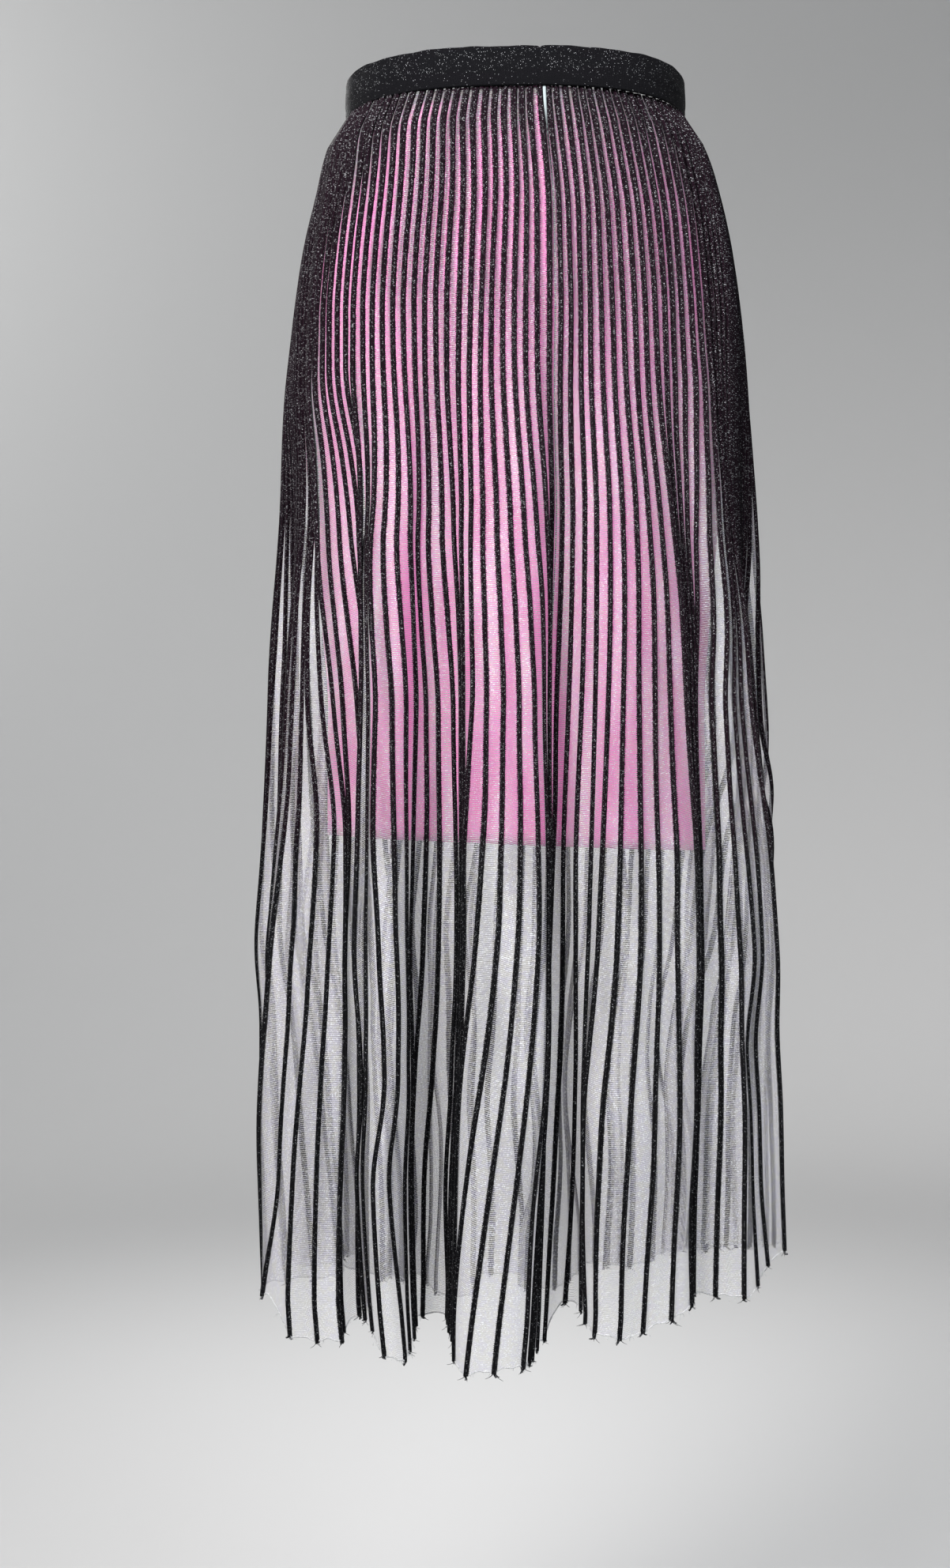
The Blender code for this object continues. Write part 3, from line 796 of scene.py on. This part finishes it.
def make_ribs(cloth, material):
    """The raised ribs, each a closed cord of knit with a rounded outer side."""
    down = np.linspace(0.0, 1.0, RIB_ROWS)
    ribs, downs = np.meshgrid(np.arange(RIB_COUNT), down, indexing="ij")
    points, outward, right = cloth.frame(ribs.astype(float), downs)
    turn = round_angles(RIB_SIDES)
    width = read_table(RIB_SIZES, "width", points[..., 2])
    width = width * (1.0 + CROWD_WIDER * crowding(ribs, points[..., 2]))
    high = read_table(RIB_SIZES, "height", points[..., 2])[..., None]
    across = np.cos(turn) * width[..., None] / 2.0
    out = np.sin(turn) * np.where(np.sin(turn) > 0, high, RIB_BACK)
    cords = (points[:, :, None] + right[:, :, None] * across[..., None]
             + outward[:, :, None] * out[..., None])
    faces = quads(RIB_ROWS, RIB_SIDES)
    every = faces + np.arange(RIB_COUNT)[:, None, None] * RIB_ROWS * RIB_SIDES
    row, column = corner_places(RIB_ROWS, RIB_SIDES)
    uv = np.empty((RIB_COUNT, len(faces), 4, 2))
    own = np.arange(RIB_COUNT)[:, None, None] * RIB_PATTERN_STEP
    uv[..., 0] = column / RIB_SIDES * RIB_GIRTH + own
    uv[..., 1] = down[row] * CLOTH_LENGTH
    return grid_mesh("skirt_ribs", cords, every.reshape(-1, 4), uv, material)


def tube(path, radii, sides):
    """Points of a tube along a path, in frames that don't twist."""
    path = np.asarray(path, float)
    along = np.gradient(path, axis=0)
    along /= np.linalg.norm(along, axis=1)[:, None]
    side = np.cross(along[0], (0.31, 0.87, 0.38))
    points = []
    for k in range(len(path)):
        side = side - along[k] * side.dot(along[k])
        side = side / np.linalg.norm(side)
        other = np.cross(along[k], side)
        for turn in round_angles(sides):
            points.append(path[k] + radii[k] * (math.cos(turn) * side + math.sin(turn) * other))
    return np.array(points)


def join_tubes(name, paths, sides, material):
    """One mesh of many tubes, each given as its path and radii."""
    points, faces, uv, first = [], [], [], 0
    for path, radii in paths:
        points.append(tube(path, radii, sides))
        faces.append(quads(len(path), sides) + first)
        first += len(points[-1])
        row, column = corner_places(len(path), sides)
        wide, tall = TUBE_PATTERN
        uv.append(np.stack([column * wide + first * wide, row * tall], -1))
    points, faces, uv = (np.concatenate(part) for part in (points, faces, uv))
    return grid_mesh(name, points, faces, uv, material)


def make_tufts(cloth, material):
    """The cut end of each rib: two short hooks of yarn and a few loose threads."""
    shuffle = np.random.RandomState(11)
    ends, outward, right = cloth.frame(np.arange(RIB_COUNT, dtype=float), np.ones(RIB_COUNT))
    steps = np.linspace(0.0, 1.0, TUFT_POINTS)
    spread = RIB_SIZES[-1].width / 4
    paths = []
    for end, out, side in zip(ends, outward, right):
        for thread in range(TUFT_THREADS):
            kind = TUFT_HOOK if thread < TUFT_HOOKS else TUFT_LOOSE
            reach = kind.reach * shuffle.uniform(0.6, 1.2)
            lean = shuffle.choice([-1.0, 1.0]) * shuffle.uniform(0.3, 1.0)
            bow = shuffle.uniform(-0.3, 0.8)
            turn = steps * kind.turn * shuffle.uniform(0.7, 1.1)
            start = end + side * shuffle.uniform(-1, 1) * spread + out * TUFT_OUT
            curl = np.sin(turn)[:, None] * side * lean * reach
            fall = np.zeros((TUFT_POINTS, 3))
            fall[:, 2] = TUFT_TOP - np.sin(np.minimum(turn, TUFT_DROP_TURN)) * reach * TUFT_DROP
            path = start + curl * steps[:, None] + fall + out * bow * reach * steps[:, None] ** 2
            paths.append((path, kind.radius * (1.0 - TUFT_TAPER * steps)))
    return join_tubes("rib_ends", paths, TUFT_SIDES, material)


def make_hem_edge(cloth, material):
    """The rolled raw edge of the knit, and short white threads that stand off it."""
    rib = np.arange(RIB_COUNT * EDGE_POINTS_PER_BAY + 1) / EDGE_POINTS_PER_BAY
    wander = np.random.RandomState(8)
    edge, outward, right = cloth.frame(rib, 1.0 - hem_rise(rib))
    rough = wander.rand(len(rib) - 1)
    rough = np.append(rough, rough[0])
    edge = edge + outward * EDGE_WANDER_OUT * (rough[:, None] - 0.3)
    edge[:, 2] += EDGE_WANDER_UP * (rough - 0.5)
    paths = [(edge, EDGE_RADIUS + EDGE_ROUGHNESS * rough)]
    steps = np.linspace(0.0, 1.0, EDGE_THREAD_POINTS)
    bend = np.sin(steps * 2.0)[:, None]
    drop = steps[:, None] * np.array([0.0, 0.0, -1.0])
    for _ in range(EDGE_THREADS):
        place = wander.randint(len(rib) - 1)
        reach = wander.uniform(*EDGE_THREAD_REACH)
        sideways = (wander.uniform(-1.0, 1.0) * right[place]
                    + wander.uniform(-0.5, 0.9) * outward[place])
        path = edge[place] + (bend * sideways + drop) * reach
        paths.append((path, np.full(EDGE_THREAD_POINTS, EDGE_THREAD_RADIUS)))
    return join_tubes("hem_edge", paths, EDGE_SIDES, material)


def ring_stack(name, rings, material):
    """A closed skin through rings of points, from the first ring to the last and back to it.

    A ring has the arrays x, y and z, and its girth.
    """
    points = np.stack([np.stack(ring[:3], -1) for ring in rings])
    steps = points.shape[1]
    order = np.arange(len(rings) + 1) % len(rings)
    faces = quads(len(order), steps)
    faces = order[faces // steps] * steps + faces % steps
    lengths = np.linalg.norm(np.diff(points[order, 0], axis=0), axis=-1)
    run = np.concatenate([[0.0], np.cumsum(lengths)])
    row, column = corner_places(len(order), steps)
    uv = np.stack([column / steps * rings[0][3], run[row]], -1)
    return grid_mesh(name, points, faces, uv, material)


def add_waves(waves, turn):
    """A sum of waves round the waist."""
    return sum(wave.size * np.sin(wave.waves * turn + wave.start) for wave in waves)


def groove(out, off):
    """Depth of the groove of a stitched line at this height off it, on the outer side."""
    return GROOVE_DEPTH * math.exp(-(off / GROOVE_WIDTH) ** 2) if out > 0 else 0.0


def make_waistband(material):
    """The folded band of fine knit, with a stitched line low down and a seam with a small dip."""
    half = BAND_WALL / 2.0
    top = BAND_HEIGHT / 2.0
    wander = add_waves(BAND_WANDER, round_angles(BAND_STEPS))
    outer = np.linspace(-top, top - half, BAND_OUTER_ROWS)
    arch = np.linspace(0.0, math.pi, BAND_ARCH_ROWS)[1:-1]
    inner = outer[::-4]
    profile = [(half + BAND_BULGE * math.cos(z / top * math.pi / 2) ** 2, z) for z in outer]
    profile += [(half * math.cos(a), top - half + half * math.sin(a)) for a in arch]
    profile += [(-half, z) for z in inner]
    rings = []
    for out, z in profile:
        reach = out - groove(out, z - BAND_STITCH_Z)
        share = smooth_step((z + top) / (2 * top))
        front = BAND_FRONT_FOOT + (BAND_FRONT_TOP - BAND_FRONT_FOOT) * share
        outline = Outline(BAND_HALF_WIDTH + reach, front + reach, BAND_BACK + reach,
                          BAND_SQUARENESS, ELLIPSE)
        x, y = turn_top(*outline.even_points(BAND_STEPS), CLOTH_TOP_Z)
        seam = np.exp(-((x - BAND_SEAM_X) / BAND_SEAM_WIDTH) ** 2) * (y < 0)
        high = z + share * wander - share * seam * BAND_SEAM_DIP
        scale = 1.0 - seam * BAND_SEAM_GROOVE / BAND_BACK if out > 0 else 1.0
        rings.append((x * scale, y * scale, high, outline.length))
    return ring_stack("waistband_knit", rings, material)


def slip_ring(z, out, steps):
    """Evenly spaced points of the slip's oval at one height, as x and y, and its girth."""
    size = [read_table(SLIP_SECTIONS, name, z) + out for name in SLIP_SECTIONS[0]._fields[1:]]
    outline = Outline(*size, ELLIPSE, ELLIPSE)
    return (*outline.even_points(steps), outline.length)


def make_slip(material):
    """The plain inner tube, turned up and stitched at its slanting hem."""
    wave = add_waves(SLIP_WAVES, round_angles(SLIP_STEPS))
    rings = []
    levels = np.linspace(SLIP_TOP_Z, SLIP_HEM_Z, SLIP_ROWS)
    for out, heights in ((SLIP_WALL / 2, levels), (-SLIP_WALL / 2, levels[::-1])):
        for z in heights:
            low = smooth_step((SLIP_WAVE_START_Z - z) / SLIP_WAVE_RUN)
            x, y, girth = slip_ring(z, out, SLIP_STEPS)
            soft = SLIP_WAVE * low * wave - groove(out, z - SLIP_HEM_Z - SLIP_TURN_UP)
            grow = 1.0 + soft / np.hypot(x, y)
            down = (SLIP_SLOPE_START_Z - z) / (SLIP_SLOPE_START_Z - SLIP_HEM_Z)
            slope = SLIP_HEM_SLOPE * smooth_step(down) * x
            rings.append((*turn_top(x * grow, y * grow, z), z + slope, girth))
    return ring_stack("slip_knit", rings, material)


def make_seam(cloth, material):
    """The one seam of the knit, a narrow closed ridge, outside the knit only near the band."""
    down = np.linspace(0.0, SEAM_END, SEAM_ROWS)
    points, outward, right = cloth.frame(np.full(SEAM_ROWS, SEAM_RIB), down)
    turn = round_angles(SEAM_SIDES)
    width, out = (read_table(SEAM_SIZES, name, points[:, 2])[:, None] for name in ("width", "out"))
    points = points + outward * out
    ring = (points[:, None] + right[:, None] * (np.cos(turn) * width / 2)[..., None]
            + outward[:, None] * (np.sin(turn) * SEAM_HEIGHT)[:, None])
    row, column = corner_places(SEAM_ROWS, SEAM_SIDES)
    uv = np.stack([column * SEAM_PATTERN, down[row] * CLOTH_LENGTH], -1)
    faces = quads(SEAM_ROWS, SEAM_SIDES)
    return grid_mesh("skirt_seam", ring, faces, uv, material)


class Graph:
    """The nodes of one material, with short calls for the sums of its pattern."""

    def __init__(self, name, color, roughness, **constants):
        self.material = bpy.data.materials.new(name)
        self.material.use_nodes = True
        self.nodes = self.material.node_tree.nodes
        self.links = self.material.node_tree.links
        self.shader = self.nodes["Principled BSDF"]
        self.put("Base Color", (*color, 1.0))
        self.put("Roughness", roughness)
        for socket, value in constants.items():
            self.put(socket.replace("_", " "), value)

    def put(self, socket, value):
        """Set one of the shader's sockets to a constant, or link it."""
        self.fill(self.shader.inputs[socket], value)

    def fill(self, socket, value):
        """Set any socket to a constant, or link it."""
        if isinstance(value, bpy.types.NodeSocket):
            self.links.new(value, socket)
        else:
            socket.default_value = value

    def sum(self, operation, *values):
        """One step of arithmetic."""
        node = self.nodes.new("ShaderNodeMath")
        node.operation = operation
        for socket, value in zip(node.inputs, values):
            self.fill(socket, value)
        return node.outputs[0]

    def uv(self):
        """Metres across and down the cloth."""
        node = self.nodes.new("ShaderNodeUVMap")
        node.uv_map = "cloth"
        parts = self.nodes.new("ShaderNodeSeparateXYZ")
        self.links.new(node.outputs[0], parts.inputs[0])
        return parts.outputs[0], parts.outputs[1]

    def place(self):
        """The place on the object, in metres."""
        node = self.nodes.new("ShaderNodeTexCoord")
        return node.outputs["Object"]

    def height(self):
        """The height of the place on the object."""
        parts = self.nodes.new("ShaderNodeSeparateXYZ")
        self.links.new(self.place(), parts.inputs[0])
        return parts.outputs[2]

    def stretched(self, across, down):
        """The place scaled sideways and in height, so that a pattern is drawn out."""
        node = self.nodes.new("ShaderNodeVectorMath")
        node.operation = "MULTIPLY"
        self.links.new(self.place(), node.inputs[0])
        node.inputs[1].default_value = (across, across, down)
        return node.outputs[0]

    def wave(self, length, value):
        """A soft wave from 0 to 1 along value."""
        turn = self.sum("MULTIPLY", value, 2.0 * math.pi / length)
        return self.sum("MULTIPLY_ADD", self.sum("COSINE", turn), 0.5, 0.5)

    def noise(self, scale, detail=2.0, where=None):
        """Soft random patches."""
        node = self.nodes.new("ShaderNodeTexNoise")
        node.inputs["Scale"].default_value = scale
        node.inputs["Detail"].default_value = detail
        self.links.new(where or self.place(), node.inputs["Vector"])
        return node.outputs[0]

    def cells(self, across, down, wide, tall):
        """A random value for each cell of a grid on the cloth."""
        node = self.nodes.new("ShaderNodeTexWhiteNoise")
        node.noise_dimensions = "2D"
        joined = self.nodes.new("ShaderNodeCombineXYZ")
        self.fill(joined.inputs[0], self.sum("FLOOR", self.sum("DIVIDE", across, wide)))
        self.fill(joined.inputs[1], self.sum("FLOOR", self.sum("DIVIDE", down, tall)))
        self.links.new(joined.outputs[0], node.inputs["Vector"])
        return node.outputs["Value"]

    def ramp(self, value, low, high, start=0.0, end=1.0):
        """A soft step from start to end, between two values."""
        node = self.nodes.new("ShaderNodeMapRange")
        node.interpolation_type = "SMOOTHSTEP"
        for socket, number in zip(node.inputs, (value, low, high, start, end)):
            self.fill(socket, number)
        return node.outputs[0]

    def blend(self, share, first, second):
        """A colour between two, by a share from 0 to 1."""
        node = self.nodes.new("ShaderNodeMix")
        node.data_type = "RGBA"
        self.fill(node.inputs["Factor"], share)
        for socket, color in zip((node.inputs[6], node.inputs[7]), (first, second)):
            known = isinstance(color, bpy.types.NodeSocket)
            self.fill(socket, color if known else (*color, 1.0))
        return node.outputs[2]

    def bump(self, height, distance):
        """Relief by a height from 0 to 1."""
        node = self.nodes.new("ShaderNodeBump")
        node.inputs["Strength"].default_value = 1.0
        node.inputs["Distance"].default_value = distance
        self.links.new(height, node.inputs["Height"])
        self.links.new(node.outputs[0], self.shader.inputs["Normal"])


def stitches(graph, across, down, wide, tall):
    """Height of plain knit stitches: columns of small V shapes, from 0 to 1."""
    column = graph.sum("FRACT", graph.sum("DIVIDE", across, wide))
    side = graph.sum("ABSOLUTE", graph.sum("SUBTRACT", column, 0.5))
    climb = graph.sum("MULTIPLY_ADD", side, STITCH_CLIMB, graph.sum("DIVIDE", down, tall))
    leg = graph.wave(1.0, climb)
    groove = graph.ramp(side, STITCH_GROOVE, 0.5, 1.0, 0.0)
    relief = graph.sum("MULTIPLY_ADD", leg, STITCH_LEGS, 1.0 - STITCH_LEGS)
    return graph.sum("MULTIPLY", relief, groove)


def knit_cover(graph, across, line, dash, fleck_and_glint):
    """The share of the sheer knit that is yarn, from place to place."""
    cover = graph.sum("MULTIPLY_ADD", line, KNIT_LINE, KNIT_GROUND)
    cover = graph.sum("MULTIPLY_ADD", graph.sum("MULTIPLY", dash, line), KNIT_DASH, cover)
    tall = graph.noise(STREAK_NOISE, 2.0, graph.stretched(1.0, 0.1))
    streak = graph.ramp(tall, 0.3, 0.7, -KNIT_STREAK, KNIT_STREAK)
    upper = graph.ramp(graph.height(), *KNIT_STREAK_Z, 1.0, KNIT_STREAK_UPPER)
    streak = graph.sum("MULTIPLY", streak, upper)
    # Painted shading: each strip is thinner at its left, so pinker, and denser at its right, so
    # whiter
    left = graph.ramp(across, 0.0, KNIT_SHADE_REACH, -KNIT_SIDE_SHADE, 0.0)
    right = graph.ramp(across, -KNIT_SHADE_REACH, 0.0, 0.0, KNIT_SIDE_SHADE)
    side = graph.ramp(graph.sum("LESS_THAN", across, 0.0), 0.0, 1.0, left, right)
    upper = graph.ramp(graph.height(), *KNIT_UPPER_Z, 0.0, KNIT_UPPER)
    lower = graph.ramp(graph.height(), *KNIT_LOWER_Z, 0.0, KNIT_LOWER)
    for part in (streak, side, upper, lower, graph.sum("MULTIPLY", fleck_and_glint, KNIT_FLECK)):
        cover = graph.sum("ADD", cover, part)
    return graph.sum("MINIMUM", graph.sum("MAXIMUM", cover, KNIT_LEAST), KNIT_MOST)


def black_teeth(graph, across, line):
    """Where the black stitches of the ribs reach a little way into each strip, row by row."""
    reach = graph.ramp(graph.height(), *TOOTH_Z, TOOTH_LOW, TOOTH_HIGH)
    uneven = graph.ramp(graph.noise(TOOTH_NOISE, 0.0), 0.35, 0.65, 0.3, 1.0)
    tooth = graph.sum("MULTIPLY", graph.sum("MULTIPLY", reach, uneven), line)
    near = graph.sum("SUBTRACT", graph.sum("ABSOLUTE", across), tooth)
    return graph.ramp(near, TOOTH_ROOT - 0.0001, TOOTH_ROOT + 0.0002, 1.0, 0.0)


def sheer_knit():
    graph = Graph("sheer_white_knit", KNIT_COLOR, 0.8, Specular_IOR_Level=0.2, Sheen_Weight=0.3,
                  Sheen_Roughness=0.4)
    across, down = graph.uv()
    course = graph.sum("DIVIDE", down, COURSE)
    line = graph.wave(1.0, course)
    brick = graph.sum("MULTIPLY", graph.sum("FLOOR", course), 0.5)
    dash = graph.wave(1.0, graph.sum("MULTIPLY_ADD", across, 1.0 / WALE, brick))
    fleck_and_glint = graph.ramp(graph.noise(FLECK_NOISE, 0.0), 0.58, 0.72)
    edge = black_teeth(graph, across, line)
    cover = knit_cover(graph, across, line, dash, fleck_and_glint)
    graph.put("Alpha", graph.sum("MAXIMUM", cover, edge))
    tint = graph.blend(graph.ramp(graph.noise(TINT_NOISE, 1.0), 0.4, 0.6), KNIT_COOL, KNIT_COLOR)
    # Painted glint: the flecks are brighter as well as denser
    yarn = graph.blend(fleck_and_glint, tint, KNIT_FLECK_GLINT)
    graph.put("Base Color", graph.blend(edge, yarn, YARN_BLACK))
    return graph.material


def glints(graph, across, down, share, size=GLINT):
    """Specks of metallic yarn with a painted glint, many dim and few bright: their strength from 0
    to 1, by cells.
    """
    random = graph.cells(across, down, size, size)
    above = graph.sum("SUBTRACT", random, share)
    part = graph.sum("DIVIDE", above, graph.sum("SUBTRACT", 1.0, share))
    return graph.sum("POWER", graph.sum("MAXIMUM", part, 0.0), GLINT_POWER)


def rib_knit():
    graph = Graph("black_metallic_ribs", YARN_BLACK, 0.6, Specular_IOR_Level=0.05)
    across, down = graph.uv()
    height = stitches(graph, across, down, RIB_GIRTH / STITCHES_ROUND_RIB, COURSE)
    graph.bump(height, RIB_BUMP)
    # Painted reflection: above the slip's hem the painted stitch highlight takes the slip's pink
    pink_reflection = graph.ramp(graph.height(), SLIP_HEM_Z - 0.02, SLIP_HEM_Z + 0.02)
    relief = graph.blend(pink_reflection, YARN_STITCH_HIGHLIGHT, YARN_HIGHLIGHT_PINK_REFLECTION)
    # Painted highlight and shade: the stitch tops lighter, the grooves between them black
    yarn = graph.blend(height, YARN_BLACK, relief)
    few = graph.ramp(graph.height(), *RIB_GLINTS_Z, 1.0 - RIB_GLINTS_LOW, 1.0 - RIB_GLINTS)
    shine = graph.sum("MULTIPLY", glints(graph, across, down, few), height)
    # Painted glints: specks of metallic yarn in bright grey
    graph.put("Base Color", graph.blend(shine, yarn, SILVER_GLINT))
    return graph.material


def band_knit():
    graph = Graph("black_sparkling_band", YARN_BLACK, 0.6, Specular_IOR_Level=0.045)
    across, down = graph.uv()
    graph.bump(stitches(graph, across, down, BAND_STITCH, BAND_STITCH), FINE_BUMP)
    rare = graph.ramp(graph.height(), BAND_STITCH_Z - 0.0005, BAND_STITCH_Z + 0.0005,
                      1.0 - BAND_GLINTS_LOW, 1.0 - BAND_GLINTS)
    shine = glints(graph, across, down, rare, BAND_GLINT)
    # Painted glints: specks of metallic yarn in bright grey
    graph.put("Base Color", graph.blend(shine, YARN_BLACK, SILVER_GLINT))
    return graph.material


def slip_knit():
    graph = Graph("pink_slip_knit", SLIP_COLOR, 0.8, Sheen_Weight=0.25, Sheen_Roughness=0.4)
    across, down = graph.uv()
    graph.bump(stitches(graph, across, down, SLIP_COURSE, SLIP_COURSE), FINE_BUMP)
    uneven = graph.ramp(graph.noise(SLIP_NOISE), 0.3, 0.7)
    graph.put("Base Color", graph.blend(uneven, SLIP_COLOR, SLIP_PALE))
    return graph.material


def edge_yarn():
    graph = Graph("white_edge_yarn", EDGE_COLORS[1], 0.8, Sheen_Weight=0.3)
    tone = graph.ramp(graph.noise(EDGE_NOISE), 0.35, 0.65)
    graph.put("Base Color", graph.blend(tone, *EDGE_COLORS))
    return graph.material


def tuft_yarn():
    graph = Graph("black_tuft_yarn", YARN_BLACK, 0.5, Specular_IOR_Level=0.12)
    across, down = graph.uv()
    shine = glints(graph, across, down, 1.0 - 2.0 * RIB_GLINTS)
    # Painted glints: specks of metallic yarn in bright grey
    graph.put("Base Color", graph.blend(shine, YARN_BLACK, SILVER_GLINT))
    return graph.material


def seam_yarn():
    graph = Graph("seam_yarn", SEAM_PALE, 0.8, Specular_IOR_Level=0.2)
    across, down = graph.uv()
    pale = graph.ramp(graph.height(), SEAM_PALE_Z - SEAM_PALE_RUN, SEAM_PALE_Z)
    speck = graph.ramp(graph.cells(across, down, 0.0006, 0.0008), 0.5, 0.9, 0.0, 0.35)
    graph.put("Base Color", graph.blend(graph.sum("MAXIMUM", pale, speck), YARN_BLACK, SEAM_PALE))
    return graph.material


def make_bowl():
    """A plain pale floor that rises softly at its rim, far below and round the part."""
    share = np.linspace(0.0, 1.0, BOWL_RINGS)
    radius = BOWL_RADIUS * (1.0 - (1.0 - share) ** BOWL_CROWDING)
    rise = smooth_step((radius / BOWL_RADIUS - BOWL_FLAT) / (1.0 - BOWL_FLAT)) ** BOWL_POWER
    turn = round_angles(BOWL_STEPS)
    points = np.stack([np.outer(radius, np.cos(turn)), np.outer(radius, np.sin(turn)),
                       np.outer(FLOOR_Z + BOWL_RISE * rise, np.ones(BOWL_STEPS))], -1)
    faces = quads(BOWL_RINGS, BOWL_STEPS)
    graph = Graph("pale_floor", FLOOR_COLOR, 0.95, Specular_IOR_Level=0.1)
    uv = np.zeros((len(faces), 4, 2))
    bowl = grid_mesh("floor", points, faces, uv, graph.material)


def make_light(name, place, aim, size, power, spread, color):
    """A round soft lamp that faces a point."""
    data = bpy.data.lights.new(name, "AREA")
    data.shape = "DISK"
    data.size = size
    data.energy = power
    data.spread = spread
    data.color = color
    lamp = bpy.data.objects.new(name, data)
    lamp.location = place
    lamp.rotation_mode = "QUATERNION"
    lamp.rotation_quaternion = (Vector(aim) - Vector(place)).to_track_quat("-Z", "Y")
    bpy.context.scene.collection.objects.link(lamp)


def make_camera():
    """The photograph's camera, level and a little below the hips."""
    data = bpy.data.cameras.new("camera")
    data.sensor_fit = "AUTO"
    data.sensor_width = SENSOR
    data.lens = FOCAL_PIXELS / FRAME_HEIGHT * SENSOR
    data.shift_y = (HORIZON_ROW - FRAME_HEIGHT / 2) / FRAME_HEIGHT
    data.clip_start, data.clip_end = CLIP
    camera = bpy.data.objects.new("camera", data)
    camera.location = CAMERA_PLACE
    camera.rotation_euler = (math.pi / 2, 0.0, 0.0)
    bpy.context.scene.collection.objects.link(camera)
    bpy.context.scene.camera = camera


def make_world():
    world = bpy.data.worlds.new("studio")
    world.use_nodes = True
    background = world.node_tree.nodes["Background"]
    background.inputs["Color"].default_value = (*WORLD_COLOR, 1.0)
    background.inputs["Strength"].default_value = WORLD_STRENGTH
    bpy.context.scene.world = world


def place_piece(item, slot_name, *nodes):
    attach(item, "root")
    if nodes:
        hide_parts(*nodes)


def main():
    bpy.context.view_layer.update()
    scene = bpy.context.scene
    scene.view_settings.view_transform = "Standard"
    scene.cycles.transparent_max_bounces = 24
    scene.cycles.max_bounces = 5
    cloth = Cloth()
    panel = make_panel(cloth, sheer_knit())
    ribs = make_ribs(cloth, rib_knit())
    tufts = make_tufts(cloth, tuft_yarn())
    edge = make_hem_edge(cloth, edge_yarn())
    seam = make_seam(cloth, seam_yarn())
    band = make_waistband(band_knit())
    slip = make_slip(slip_knit())
    place_piece(panel, "skirt", "skirt")
    for item in (ribs, tufts, edge, seam):
        place_piece(item, "skirt")
    place_piece(band, "waistband", "waistband")
    place_piece(slip, "slip", "slip")
    pitch = read_table(SECTIONS, "rib_pitch", cloth.levels)
    levels = np.linspace(CLOTH_TOP_Z, SLIP_HEM_Z, CLOTH_LEVELS)
    girths = np.array([slip_ring(z, 0.0, 60)[2] for z in levels])
    make_bowl()
    make_world()
    for lamp in LAMPS:
        make_light(*lamp)
    make_camera()


main()
